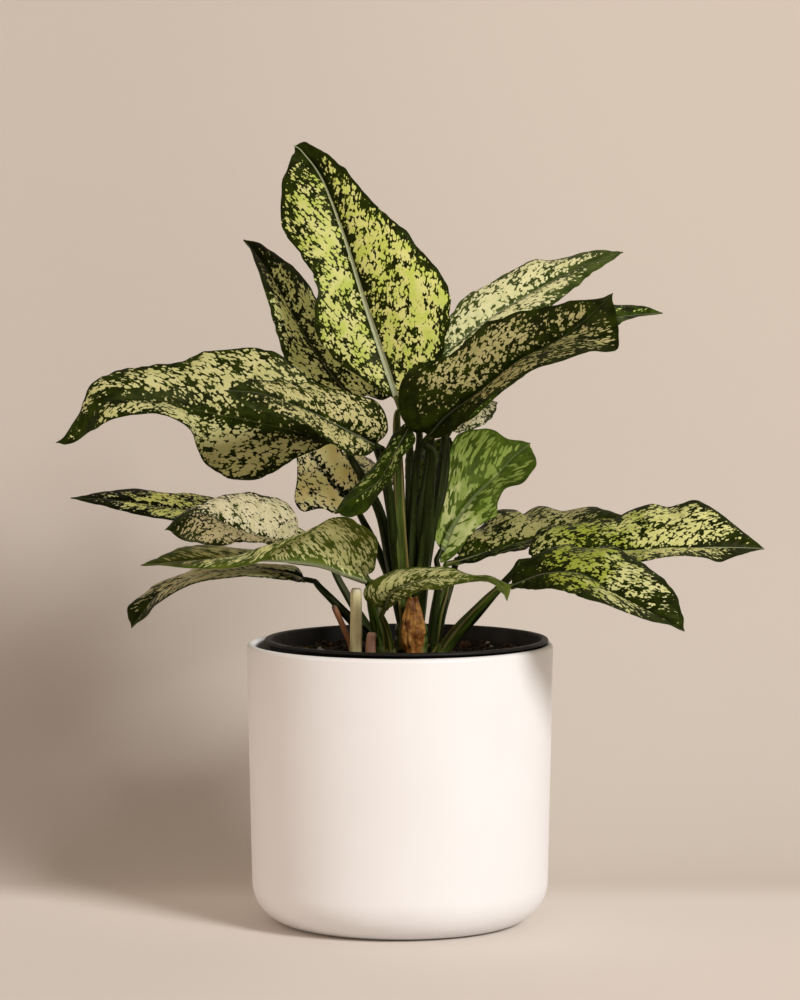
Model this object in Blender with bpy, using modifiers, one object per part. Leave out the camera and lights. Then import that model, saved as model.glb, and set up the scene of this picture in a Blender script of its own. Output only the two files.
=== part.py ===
"""A Chinese evergreen in its black nursery pot, standing loose in a white ceramic planter.

The world's origin is the centre of the planter's flat underside, +Z is up and
the side that faces -Y is the front. Sizes and places are in millimetres, and
become metres where an object is made.
"""
import math

import bmesh
import bpy
import numpy as np

MM = 0.001
WELD = 0.00001

# White ceramic planter: a straight pot with a softly rounded foot.
PLANTER_RADIUS = 95.0
PLANTER_HEIGHT = 174.0
PLANTER_FOOT_RADIUS = 92.0
PLANTER_FOOT_CURVE = 26.0
PLANTER_WALL = 5.0
PLANTER_FLOOR = 8.0
PLANTER_STEPS = 56

# Black nursery pot: stands off-centre, with its lip just above the white rim.
GAP = 0.3
NURSERY_OFFSET = 4.0
NURSERY_LIP_RADIUS = 88.0
NURSERY_TOP_RADIUS = 85.0
NURSERY_BASE_RADIUS = 64.0
NURSERY_WALL = 1.3
NURSERY_LIP_HEIGHT = 2.4
NURSERY_STEPS = 48
NURSERY_BASE = PLANTER_FLOOR + GAP
NURSERY_LIP_BOTTOM = PLANTER_HEIGHT + 0.4
NURSERY_TOP = NURSERY_LIP_BOTTOM + NURSERY_LIP_HEIGHT
DRAIN_HOLES = 6
DRAIN_RADIUS = 4.0
DRAIN_CIRCLE = 38.0
DRAIN_SIDES = 12

# Potting soil: fills the nursery pot to about a centimetre below its lip.
SOIL_TOP = 166.0
SOIL_BUMP = 1.6
SOIL_STEPS = 32
SOIL_RINGS = 6
ROOT_DEPTH = 25.0
ROOT_END = SOIL_TOP - ROOT_DEPTH
HOLE_GAP = 0.4
HOLE_SIDES = 16
HOLE_TOP = SOIL_TOP + 20.0

# Leaves and stalks.
BLADE_THICKNESS = 0.8
RIB_THICKNESS = 1.7
BLADE_ROWS = 14
BLADE_COLUMNS = (-1.0, -0.5, 0.0, 0.5, 1.0)
BLADE_CROWN = 0.09
BLADE_BASE_HALF = 1.3
BLADE_TIP_HALF = 0.7
CANE_SIDES = 16
STUB_SIDES = 10
STUB_POINTS = 6
STALK_SIDES = 8
STALK_TOP_RADIUS = 1.7
STALK_STEP = 14.0
STALK_TAPER = 0.6
STALK_GAP = 0.5
STALK_LEAD = 6.0
BLADE_END = 0.02
RIB_STEP = 0.002

# Each blade is three curves from its base to its tip: the midrib, and the left
# and right margins as seen from above, looking from the base to the tip. The
# margins begin and end with the midrib.
BLADES = {
    "leaf_top": {
        "rib": [(-2, 4, 325), (-13, 9, 358), (-24, 14, 391), (-35, 17, 426), (-48, 16, 460),
                (-60, 11, 477), (-65, 7, 481)],
        "left": [(-17, 2, 333), (-37, 1, 347), (-49, -2, 360), (-53, -4, 378), (-51, -1, 395),
                 (-62, 7, 414), (-72, 9, 430), (-74, 8, 445), (-72, 6, 460), (-68, 6, 472)],
        "right": [(12, 4, 332), (25, 3, 349), (30, 2, 371), (30, 2, 392), (20, 5, 409),
                  (0, 9, 429), (-19, 10, 449), (-34, 11, 467), (-48, 10, 478), (-59, 9, 483)],
    },
    "leaf_top_left": {
        "rib": [(-27, 20, 322), (-44, 28, 341), (-61, 38, 366), (-78, 46, 396), (-90, 48, 414),
                (-98, 48, 423)],
        "left": [(-49, 19, 331), (-68, 19, 341), (-75, 21, 361), (-82, 27, 386), (-89, 35, 405),
                 (-95, 44, 419)],
        "right": [(-20, 25, 326), (-10, 28, 323), (-3, 33, 330), (-11, 40, 346), (-27, 48, 358),
                  (-41, 59, 373), (-53, 63, 387), (-59, 63, 396), (-69, 60, 407), (-87, 54, 419)],
    },
    "leaf_big_left": {
        "rib": [(-37, 0, 299), (-62, -4, 305), (-94, -9, 313), (-120, -14, 318), (-147, -19, 325),
                (-172, -24, 326), (-185, -27, 321), (-195, -30, 306), (-210, -32, 300)],
        "left": [(-46, -7, 296), (-61, -16, 291), (-80, -25, 280), (-98, -32, 277),
                 (-113, -34, 283), (-122, -37, 293), (-127, -37, 308), (-143, -38, 317),
                 (-158, -37, 318), (-177, -37, 314), (-188, -34, 307), (-201, -33, 299)],
        "right": [(-41, 6, 318), (-56, 7, 335), (-71, 6, 350), (-87, 6, 356), (-114, 4, 355),
                  (-136, 0, 349), (-172, -8, 343), (-189, -15, 334), (-196, -23, 318),
                  (-205, -29, 304)],
    },
    "leaf_mid_left": {
        "rib": [(-14, -14, 297), (-30, -38, 307), (-48, -62, 318), (-69, -86, 328),
                (-85, -104, 334), (-103, -122, 336)],
        "left": [(-21, -35, 292), (-33, -56, 296), (-48, -84, 308), (-59, -98, 316),
                 (-74, -109, 321), (-90, -116, 327)],
        "right": [(-7, -19, 308), (-12, -21, 322), (-24, -25, 328), (-43, -37, 334),
                  (-60, -55, 338), (-75, -76, 340), (-89, -100, 340)],
    },
    "leaf_back_right_pale": {
        "rib": [(25, 20, 351), (56, 36, 374), (85, 50, 391), (114, 60, 406), (141, 68, 415)],
        "left": [(29, 36, 372), (43, 52, 388), (66, 68, 401), (83, 76, 410), (96, 78, 410),
                 (114, 75, 415), (127, 70, 416)],
        "right": [(36, 19, 348), (56, 20, 358), (86, 28, 377), (105, 39, 389), (119, 51, 401),
                  (133, 61, 409)],
    },
    "leaf_front_right": {
        "rib": [(17, -24, 303), (29, -33, 317), (50, -44, 333), (72, -54, 351), (94, -63, 363),
                (111, -70, 376), (127, -76, 392)],
        "left": [(3, -28, 310), (-1, -31, 327), (4, -34, 344), (22, -36, 351), (33, -38, 355),
                 (50, -44, 372), (66, -49, 378), (79, -55, 382), (94, -60, 385), (107, -66, 388),
                 (119, -71, 389)],
        "right": [(24, -35, 303), (39, -52, 314), (48, -65, 325), (66, -80, 338), (82, -90, 348),
                  (98, -98, 353), (113, -101, 358), (123, -100, 358), (130, -96, 361),
                  (130, -85, 373)],
    },
    "leaf_back_right_tip": {
        "rib": [(31, 10, 312), (63, 45, 340), (102, 78, 361), (135, 102, 372), (170, 124, 375)],
        "left": [(34, 38, 326), (57, 73, 351), (83, 98, 368), (110, 113, 378), (142, 121, 381),
                 (158, 122, 379)],
        "right": [(43, 6, 312), (69, 23, 333), (97, 46, 349), (127, 77, 362), (141, 93, 369),
                  (154, 110, 373)],
    },
    "leaf_right_drooping": {
        "rib": [(25, 13, 230), (32, 21, 245), (44, 30, 261), (58, 38, 274), (69, 45, 285),
                (82, 50, 295)],
        "left": [(26, 21, 222), (34, 27, 226), (42, 33, 236), (52, 42, 245), (60, 50, 249),
                 (62, 55, 257), (67, 58, 265), (77, 59, 269), (82, 57, 274), (87, 55, 281),
                 (84, 52, 290)],
        "right": [(21, 15, 243), (25, 19, 262), (30, 26, 286), (36, 32, 301), (50, 34, 305),
                  (59, 37, 304), (66, 42, 299), (74, 47, 297)],
    },
    "leaf_right_mid": {
        "rib": [(34, 16, 223), (53, 24, 228), (69, 30, 232), (85, 36, 236), (113, 46, 243),
                (144, 54, 248)],
        "left": [(38, 29, 229), (43, 43, 238), (51, 54, 242), (56, 61, 247), (63, 65, 251),
                 (73, 69, 251), (78, 70, 248), (90, 73, 253), (103, 74, 250), (118, 72, 253),
                 (129, 64, 253)],
        "right": [(44, 12, 222), (56, 12, 227), (68, 14, 231), (83, 22, 234), (100, 31, 236),
                  (119, 41, 241), (133, 49, 246)],
    },
    "leaf_right_big": {
        "rib": [(80, -5, 226), (99, -8, 230), (117, -10, 232), (142, -12, 232), (169, -12, 233),
                (197, -10, 234), (225, -6, 233)],
        "left": [(80, 8, 232), (84, 17, 240), (91, 20, 245), (107, 20, 247), (130, 19, 250),
                 (141, 20, 254), (150, 21, 257), (158, 21, 259), (166, 20, 257), (174, 18, 259),
                 (184, 16, 260), (193, 12, 257), (203, 6, 251), (212, 2, 244), (220, -3, 237)],
        "right": [(89, -19, 222), (107, -33, 223), (128, -43, 226), (152, -48, 229),
                  (166, -46, 231), (177, -41, 231), (187, -37, 230), (196, -32, 227),
                  (209, -20, 230)],
    },
    "leaf_right_front": {
        "rib": [(67, -38, 213), (88, -52, 222), (109, -66, 223), (127, -78, 213), (147, -86, 203),
                (170, -92, 191)],
        "left": [(70, -33, 222), (78, -30, 229), (91, -28, 235), (100, -28, 237), (114, -33, 235),
                 (127, -39, 237), (135, -45, 234), (146, -52, 229), (158, -64, 221),
                 (163, -71, 215), (168, -79, 207), (170, -85, 199)],
        "right": [(76, -54, 212), (93, -79, 215), (111, -99, 211), (125, -108, 207),
                  (145, -109, 200), (160, -99, 195)],
    },
    "leaf_front_small": {
        "rib": [(-10, -36, 198), (-4, -51, 211), (15, -66, 220), (33, -80, 222), (48, -90, 222),
                (59, -97, 220), (64, -100, 210)],
        "left": [(-18, -38, 201), (-22, -41, 208), (-18, -43, 215), (-5, -43, 222), (9, -48, 225),
                 (22, -55, 226), (31, -62, 226), (43, -73, 223), (54, -85, 223), (65, -96, 218)],
        "right": [(-5, -46, 200), (1, -62, 207), (10, -75, 212), (20, -84, 215), (33, -93, 219),
                  (45, -98, 221), (55, -100, 220)],
    },
    "leaf_left_thin": {
        "rib": [(-47, 14, 229), (-87, 16, 241), (-125, 20, 253), (-156, 24, 258), (-181, 26, 261),
                (-206, 28, 262)],
        "left": [(-55, 4, 227), (-80, -6, 235), (-111, -7, 244), (-139, -4, 250), (-155, 2, 252),
                 (-172, 11, 255), (-193, 21, 259)],
        "right": [(-50, 26, 236), (-75, 42, 247), (-101, 50, 256), (-126, 52, 262),
                  (-150, 49, 264), (-171, 43, 266), (-191, 35, 264)],
    },
    "leaf_left_speckled": {
        "rib": [(-59, -16, 233), (-70, -34, 238), (-81, -50, 242), (-99, -70, 251),
                (-115, -86, 261), (-125, -96, 262), (-132, -104, 258), (-139, -110, 253)],
        "left": [(-54, -26, 235), (-62, -45, 239), (-77, -65, 242), (-93, -84, 243),
                 (-110, -104, 244), (-119, -110, 245), (-129, -112, 248)],
        "right": [(-65, -9, 239), (-63, -11, 246), (-64, -14, 253), (-70, -20, 262),
                  (-81, -28, 267), (-97, -41, 270), (-108, -54, 269), (-120, -75, 266),
                  (-131, -95, 261)],
    },
    "leaf_left_under": {
        "rib": [(-21, -20, 215), (-34, -27, 220), (-48, -34, 226), (-64, -42, 229),
                (-82, -52, 231), (-103, -62, 231), (-129, -74, 231), (-155, -86, 230)],
        "left": [(-16, -27, 222), (-14, -37, 233), (-15, -47, 245), (-29, -57, 255),
                 (-41, -63, 257), (-52, -71, 250), (-66, -79, 244), (-73, -86, 240),
                 (-82, -91, 233), (-95, -95, 230), (-110, -96, 229), (-126, -94, 229),
                 (-143, -90, 230)],
        "right": [(-24, -10, 213), (-35, -3, 216), (-50, -3, 221), (-68, -9, 224),
                  (-85, -18, 231), (-101, -28, 235), (-119, -42, 238), (-131, -55, 239),
                  (-143, -72, 234)],
    },
    "leaf_left_low": {
        "rib": [(-58, -2, 214), (-74, -8, 219), (-105, -14, 220), (-132, -20, 215),
                (-150, -24, 204), (-165, -26, 186)],
        "left": [(-62, -14, 213), (-69, -26, 216), (-91, -44, 219), (-115, -51, 217),
                 (-129, -52, 214), (-148, -48, 203), (-155, -37, 194)],
        "right": [(-65, 9, 220), (-81, 19, 220), (-100, 22, 219), (-118, 18, 219),
                  (-128, 14, 218), (-134, 11, 214), (-151, 0, 210), (-157, -10, 206),
                  (-167, -21, 198)],
    },
    "leaf_back_left_grey": {
        "rib": [(-30, 20, 259), (-44, 34, 274), (-57, 46, 290), (-67, 55, 309), (-76, 62, 330)],
        "left": [(-39, 21, 253), (-50, 20, 255), (-61, 21, 254), (-66, 25, 261), (-65, 30, 272),
                 (-65, 39, 285), (-70, 49, 304), (-75, 57, 320)],
        "right": [(-24, 30, 267), (-28, 41, 278), (-35, 50, 289), (-45, 57, 303), (-58, 61, 316),
                  (-69, 63, 325)],
    },
    "leaf_twisted": {
        "rib": [(7, -16, 312), (-3, -30, 295), (-12, -42, 279), (-20, -46, 273), (-31, -52, 266),
                (-39, -55, 259)],
        "left": [(9, -30, 301), (1, -43, 290), (-4, -50, 282), (-10, -56, 274), (-15, -57, 267),
                 (-21, -57, 259), (-30, -57, 256)],
        "right": [(2, -13, 310), (-6, -18, 300), (-15, -26, 288), (-21, -31, 281),
                  (-27, -37, 275), (-33, -45, 268)],
    },
    "leaf_back_lobe": {
        "rib": [(31, 22, 304), (40, 48, 318), (46, 76, 322), (49, 106, 316), (50, 128, 303)],
        "left": [(23, 32, 309), (22, 54, 319), (23, 78, 322), (29, 100, 319), (39, 118, 311)],
        "right": [(40, 34, 303), (48, 48, 305), (56, 66, 308), (61, 80, 313), (62, 96, 318),
                  (58, 114, 312)],
    },
    "leaf_back_centre": {
        "rib": [(13, 24, 288), (19, 44, 294), (24, 60, 282), (26, 70, 260), (27, 75, 243),
                (26, 77, 230)],
        "left": [(6, 35, 288), (3, 54, 281), (6, 66, 263), (14, 73, 246), (21, 76, 235)],
        "right": [(20, 31, 296), (31, 46, 298), (38, 60, 280), (38, 69, 258), (34, 74, 242)],
    },
    "leaf_rear_top": {
        "rib": [(5, 22, 318), (3, 60, 353), (-3, 86, 390), (-10, 104, 425), (-18, 112, 445)],
        "left": [(-6, 44, 325), (-23, 75, 353), (-28, 95, 384), (-27, 107, 412), (-24, 111, 435)],
        "right": [(19, 45, 327), (25, 73, 356), (24, 94, 390), (10, 106, 419), (-8, 111, 438)],
    },
    "leaf_rear_left": {
        "rib": [(-8, 16, 268), (-21, 54, 277), (-34, 98, 283), (-47, 138, 283), (-61, 170, 275)],
        "left": [(-21, 34, 265), (-40, 83, 270), (-58, 124, 276), (-66, 147, 277),
                 (-66, 161, 274)],
        "right": [(-3, 42, 272), (-12, 78, 277), (-22, 106, 283), (-36, 133, 284), (-52, 156, 280)],
    },
    "leaf_rear_right": {
        "rib": [(39, 35, 224), (56, 60, 229), (76, 94, 232), (99, 129, 233), (122, 158, 231)],
        "left": [(34, 50, 228), (40, 74, 234), (56, 102, 237), (82, 132, 238), (106, 149, 236)],
        "right": [(51, 39, 223), (72, 64, 225), (95, 99, 228), (113, 131, 230), (120, 150, 230)],
    },
}

# A shoot is a short cane that stands in the soil, with the stalks of its leaves
# grown into it. Each stalk is listed from just below its blade down to the cane,
# with its thickest radius.
SHOOTS = {
    "shoot_main": {
        "foot": (7, 0),
        "radius": 10.0,
        "top": 192,
        "stalks": {
            "leaf_top": ([(-2, 2, 312), (-1, 0, 281), (0, -3, 250), (2, -4, 213), (5, -4, 180)], 5.0),
            "leaf_front_right": ([(20, -18, 293), (19, -13, 276), (17, -9, 251), (15, -6, 226),
                                  (12, -4, 195), (9, -3, 176)], 4.6),
            "leaf_back_right_pale": ([(23, 15, 333), (19, 12, 299), (16, 8, 274), (12, 5, 250),
                                      (11, 3, 213), (9, 2, 178)], 3.6),
            "leaf_back_right_tip": ([(27, 12, 293), (23, 8, 262), (18, 6, 231), (13, 4, 200),
                                     (10, 3, 174)], 3.2),
            "leaf_big_left": ([(-31, 2, 290), (-22, 3, 274), (-12, 2, 253), (-6, 0, 225),
                               (0, -1, 195), (5, -1, 176)], 4.2),
            "leaf_mid_left": ([(-9, -12, 283), (-6, -9, 263), (-4, -6, 238), (0, -4, 206),
                               (4, -3, 178)], 3.8),
            "leaf_top_left": ([(-21, 18, 309), (-12, 13, 286), (-6, 8, 256), (-1, 4, 219),
                               (4, 1, 182)], 3.6),
            "leaf_back_left_grey": ([(-24, 18, 250), (-15, 13, 233), (-6, 8, 212), (2, 4, 190),
                                     (6, 2, 174)], 3.4),
            "leaf_twisted": ([(12, -8, 300), (9, -5, 275), (7, -4, 244), (6, -3, 207),
                              (7, -2, 180)], 3.6),
            "leaf_rear_top": ([(6, 17, 292), (6, 12, 262), (6, 8, 225), (7, 4, 190)], 3.6),
            "leaf_back_lobe": ([(29, 18, 286), (26, 14, 264), (18, 8, 238), (13, 5, 206),
                                (9, 3, 178)], 3.4),
            "leaf_back_centre": ([(9, 14, 280), (7, 9, 249), (7, 6, 212), (7, 3, 184)], 3.4),
            "leaf_rear_left": ([(-4, 13, 254), (1, 9, 228), (4, 6, 204), (6, 3, 180)], 3.4),
        },
    },
    "shoot_left": {
        "foot": (-12, -4),
        "radius": 6.5,
        "top": 176,
        "stalks": {
            "leaf_left_under": ([(-18, -17, 202), (-15, -11, 186), (-12, -6, 172)], 3.4),
            "leaf_left_speckled": ([(-48, -9, 233), (-37, -1, 230), (-26, 5, 220), (-17, 4, 205),
                                    (-13, 0, 186), (-12, -3, 170)], 3.0),
            "leaf_left_thin": ([(-41, 12, 218), (-32, 9, 201), (-23, 4, 187), (-14, -1, 174),
                                (-12, -3, 166)], 3.0),
            "leaf_left_low": ([(-50, -3, 209), (-40, -4, 199), (-30, -4, 188), (-19, -5, 176),
                               (-12, -4, 168)], 3.4),
        },
    },
    "shoot_right": {
        "foot": (25, -8),
        "radius": 6.5,
        "top": 174,
        "stalks": {
            "leaf_right_front": ([(58, -34, 209), (46, -26, 196), (34, -15, 180), (26, -9, 168)], 4.0),
            "leaf_right_big": ([(70, -6, 218), (58, -8, 205), (46, -9, 191), (33, -8, 177),
                                (26, -8, 168)], 3.6),
        },
    },
    "shoot_right_back": {
        "foot": (21, 13),
        "radius": 6.0,
        "top": 174,
        "stalks": {
            "leaf_right_mid": ([(29, 16, 208), (24, 14, 190), (21, 13, 170)], 3.2),
            "leaf_right_drooping": ([(24, 12, 212), (21, 12, 184), (20, 12, 170)], 2.8),
            "leaf_rear_right": ([(32, 25, 209), (26, 18, 189), (22, 14, 168)], 3.2),
        },
    },
    "shoot_front": {
        "foot": (-6, -20),
        "radius": 3.8,
        "top": 174,
        "stalks": {
            "leaf_front_small": ([(-9, -27, 187), (-7, -22, 178), (-6, -20, 168),
                                  (-6, -20, 160)], 3.2),
        },
    },
}

# Cut stalks left in the soil: path from the soil up, and radius at foot and head.
STUBS = {
    "cut_stub_pale": ([(-27, -14, ROOT_END), (-27, -14, 180), (-27, -14, 209)], 3.9, 3.5),
    "cut_stub_brown": ([(-30, -4, ROOT_END), (-30, -4, 156), (-30, -4, 171), (-34, -7, 182),
                        (-41, -11, 198)], 2.0, 1.8),
    "cut_nub_pink": ([(-18, -18, ROOT_END), (-18, -18, 172), (-17, -18, 182)], 3.6, 3.0),
}

# Dry papery sheath at the foot of the main shoot: a turned form pressed flat from
# the front, listed from its top down as (half-width, height).
SHEATH_CENTRE = (8.0, -16.2)
SHEATH_DEPTH_SHARE = 0.55
SHEATH_FOOT_RADIUS = 4.4
SHEATH_PROFILE = [(0.0, 203), (3.0, 203), (4.8, 196), (6.6, 189), (7.4, 182), (6.4, 175),
                  (SHEATH_FOOT_RADIUS, 168), (SHEATH_FOOT_RADIUS, ROOT_END), (0.0, ROOT_END)]
SHEATH_STEPS = 12


def material(name, colour, roughness):
    """A Principled material with one colour."""
    made = bpy.data.materials.new(name)
    made.use_nodes = True
    shader = made.node_tree.nodes["Principled BSDF"]
    shader.inputs["Base Color"].default_value = (*colour, 1.0)
    shader.inputs["Roughness"].default_value = roughness
    shader.inputs["Metallic"].default_value = 0.0
    made.diffuse_color = (*colour, 1.0)
    return made


def collection(name):
    """A new collection in the scene."""
    made = bpy.data.collections.new(name)
    bpy.context.scene.collection.children.link(made)
    return made


def place(name, data, origin, look, group, parent=None):
    """An object with its origin at a place in millimetres."""
    if look:
        data.materials.append(look)
    made = bpy.data.objects.new(name, data)
    made.location = [value * MM for value in origin]
    made.parent = parent
    group.objects.link(made)
    return made


def evaluated_mesh(source):
    """A new mesh of an object as its modifiers or its bevel make it."""
    bpy.context.view_layer.update()
    graph = bpy.context.evaluated_depsgraph_get()
    return bpy.data.meshes.new_from_object(source.evaluated_get(graph))


def apply_modifiers(made):
    """Settles an object's modifiers into its mesh."""
    mesh = evaluated_mesh(made)
    made.modifiers.clear()
    made.data = mesh


def turned(name, profile, steps, origin, look, group, parent):
    """A profile turned about +Z: (radius, height) from the inside over the top and down the outside."""
    mesh = bpy.data.meshes.new(name)
    points = [(radius * MM, 0.0, (height - origin[2]) * MM) for radius, height in profile]
    edges = [(start, start + 1) for start in range(len(points) - 1)]
    mesh.from_pydata(points, edges, [])
    made = place(name, mesh, origin, look, group, parent)
    screw = made.modifiers.new("turn", "SCREW")
    screw.steps = steps
    screw.render_steps = steps
    screw.use_merge_vertices = True
    screw.merge_threshold = WELD
    return made


def rod(name, path, radii, sides, look, group, parent=None):
    """A round rod through a path, with its own radius at each point, as a closed mesh."""
    origin = np.asarray(path[0], float)
    curve = bpy.data.curves.new(name, "CURVE")
    curve.dimensions = "3D"
    curve.bevel_depth = MM
    curve.bevel_resolution = sides // 2 - 2
    curve.use_fill_caps = True
    spline = curve.splines.new("POLY")
    spline.points.add(len(path) - 1)
    for point, centre, radius in zip(spline.points, np.asarray(path, float), radii):
        point.co = (*(centre - origin) * MM, 1.0)
        point.radius = radius
    guide = place("guide", curve, origin, None, group)
    mesh = evaluated_mesh(guide)
    bpy.data.objects.remove(guide)
    shape = bmesh.new()
    shape.from_mesh(mesh)
    bmesh.ops.remove_doubles(shape, verts=shape.verts, dist=WELD)
    bmesh.ops.recalc_face_normals(shape, faces=shape.faces)
    shape.to_mesh(mesh)
    shape.free()
    mesh.materials.clear()
    mesh.shade_smooth()
    return place(name, mesh, origin, look, group, parent)


def cutter(name, centre, radius, sides, low, high, group, depth_share=1.0):
    """An upright cylinder that a Boolean takes away, pressed flat by depth_share."""
    shape = bmesh.new()
    bmesh.ops.create_cone(shape, cap_ends=True, segments=sides, radius1=radius * MM,
                          radius2=radius * MM, depth=(high - low) * MM)
    bmesh.ops.scale(shape, vec=(1.0, depth_share, 1.0), verts=shape.verts)
    mesh = bpy.data.meshes.new(name)
    shape.to_mesh(mesh)
    shape.free()
    made = place(name, mesh, (*centre, (low + high) / 2), None, group)
    made.display_type = "WIRE"
    made.hide_render = True
    return made


def combine(made, others, operation):
    """A Boolean step between an object and all the objects of a collection."""
    step = made.modifiers.new("combine", "BOOLEAN")
    step.operation = operation
    step.solver = "EXACT"
    step.operand_type = "COLLECTION"
    step.collection = others


def unit(vectors):
    """Vectors scaled to length one."""
    return vectors / np.maximum(np.linalg.norm(vectors, axis=-1, keepdims=True), 1e-9)


def curve_through(points, shares, fine=240):
    """Places at the given shares of the length of a smooth curve through the points."""
    points = np.asarray(points, float)
    ends = np.vstack([2 * points[0] - points[1], points, 2 * points[-1] - points[-2]])
    travel = np.linspace(0, len(points) - 1, fine)
    span = np.minimum(travel.astype(int), len(points) - 2)
    part = (travel - span)[:, None]
    before, start, end, after = ends[span], ends[span + 1], ends[span + 2], ends[span + 3]
    path = 0.5 * (2 * start + (end - before) * part
                  + (2 * before - 5 * start + 4 * end - after) * part**2
                  + (3 * start - before - 3 * end + after) * part**3)
    steps = np.linalg.norm(np.diff(path, axis=0), axis=1)
    gone = np.concatenate([[0], np.cumsum(steps)])
    reach = np.asarray(shares) * gone[-1]
    return np.stack([np.interp(reach, gone, path[:, axis]) for axis in range(3)], axis=-1)


def blade_surface(blade, rows, columns):
    """A blade's upper surface as a grid of points: rows from base to tip, columns left to right."""
    even = np.linspace(0, 1, rows)
    share = 0.45 * even + 0.55 * (1 - np.cos(math.pi * even)) / 2
    inside = np.clip(share, BLADE_END, 1 - BLADE_END)
    rib = curve_through(blade["rib"], share)
    rib_inside = curve_through(blade["rib"], inside)
    along = unit(curve_through(blade["rib"], np.clip(share + RIB_STEP, 0, 1))
                 - curve_through(blade["rib"], np.clip(share - RIB_STEP, 0, 1)))
    least = BLADE_BASE_HALF + (BLADE_TIP_HALF - BLADE_BASE_HALF) * share
    ends = (share != inside)[:, None]
    grid = np.zeros((rows, len(columns), 3))
    for side, sign in (("left", -1), ("right", 1)):
        margin = [blade["rib"][0], *blade[side], blade["rib"][-1]]
        arm = curve_through(margin, inside) - rib_inside
        reach = np.linalg.norm(arm, axis=1, keepdims=True)
        reach = np.maximum(np.where(ends, 0, reach), least[:, None])
        arm = unit(arm)
        square = unit(arm - along * (arm * along).sum(axis=-1, keepdims=True))
        arm = np.where(ends, square, arm)
        upward = unit(np.cross(arm, along)) * sign
        for column, across in enumerate(columns):
            out = across * sign
            if out >= 0:
                crown = BLADE_CROWN * 4 * out * (1 - out)
                grid[:, column] = rib + (arm * out + upward * crown) * reach
    return grid


def add_blade(name, look, group, parent):
    """A waved blade: an open sheet made solid, with its midrib thicker towards the base."""
    origin = np.asarray(BLADES[name]["rib"][0], float)
    surface = (blade_surface(BLADES[name], BLADE_ROWS, BLADE_COLUMNS) - origin) * MM
    rows, columns = surface.shape[:2]
    shape = bmesh.new()
    bmesh.ops.create_grid(shape, x_segments=columns - 1, y_segments=rows - 1, size=1)
    for vertex, point in zip(shape.verts, surface.reshape(-1, 3)):
        vertex.co = point
    bmesh.ops.triangulate(shape, faces=shape.faces, quad_method="SHORT_EDGE")
    mesh = bpy.data.meshes.new(name)
    shape.to_mesh(mesh)
    shape.free()
    mesh.shade_smooth()
    made = place(name, mesh, origin, look, group, parent)
    rib = made.vertex_groups.new(name="rib")
    for row in range(rows):
        middle = row * columns + BLADE_COLUMNS.index(0.0)
        rib.add([middle], 1 - row / (rows - 1), "REPLACE")
    solid = made.modifiers.new("thickness", "SOLIDIFY")
    solid.thickness = RIB_THICKNESS * MM
    solid.offset = -1
    solid.vertex_group = rib.name
    solid.thickness_vertex_group = BLADE_THICKNESS / RIB_THICKNESS
    return made


def stalk_path(blade_name, route):
    """The stalk's path from the cane up to just short of its blade."""
    rib = curve_through(BLADES[blade_name]["rib"], (0, 0.03))
    ahead = unit(rib[1] - rib[0])
    head = rib[0] - ahead * STALK_GAP
    lead = head - ahead * STALK_LEAD
    points = [lead, *np.asarray(route, float)][::-1]
    length = np.linalg.norm(np.diff(points, axis=0), axis=1).sum()
    count = max(4, round(length / STALK_STEP) + 1)
    return np.vstack([curve_through(points, np.linspace(0, 1, count)), head])


def add_shoot(name, look, group, parent):
    """A cane with the stalks of its leaves grown into it, all one closed body."""
    shoot = SHOOTS[name]
    radius = shoot["radius"]
    top = shoot["top"]
    heights = [ROOT_END, SOIL_TOP, top - radius * 0.5, top]
    radii = [radius, radius, radius * 0.9, radius * 0.5]
    path = [(*shoot["foot"], height) for height in heights]
    cane = rod(name, path, radii, CANE_SIDES, look, group, parent)
    stalks = collection("stalks")
    for blade_name, (route, thick) in shoot["stalks"].items():
        path = stalk_path(blade_name, route)
        slim = (1 - np.linspace(0, 1, len(path))) ** STALK_TAPER
        radii = STALK_TOP_RADIUS + (thick - STALK_TOP_RADIUS) * slim
        rod("stalk", path, radii, STALK_SIDES, look, stalks)
    combine(cane, stalks, "UNION")
    apply_modifiers(cane)
    for stalk in list(stalks.objects):
        bpy.data.objects.remove(stalk)
    bpy.data.collections.remove(stalks)
    return cane


def arc(centre, radius, first, last, count):
    """Points of an arc in a profile, angles in degrees."""
    turns = np.radians(np.linspace(first, last, count))
    return [(centre[0] + radius * math.cos(turn), centre[1] + radius * math.sin(turn))
            for turn in turns]


def add_planter(look, group, parent):
    """The white pot: thin wall, softly rounded rim and foot, and a flat underside."""
    curve = PLANTER_FOOT_CURVE
    inner_curve = curve - PLANTER_WALL - 3
    inner_centre = PLANTER_FOOT_RADIUS - PLANTER_WALL - inner_curve
    rim = PLANTER_WALL / 2
    profile = [(0, PLANTER_FLOOR)]
    profile += arc((inner_centre, PLANTER_FLOOR + inner_curve), inner_curve, -90, 0, 5)
    profile += arc((PLANTER_RADIUS - rim, PLANTER_HEIGHT - rim), rim, 180, 0, 5)
    profile += arc((PLANTER_FOOT_RADIUS - curve, curve), curve, 0, -90, 7)
    profile += [(0, 0)]
    return turned("planter", profile, PLANTER_STEPS, (0, 0, 0), look, group, parent)


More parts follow.
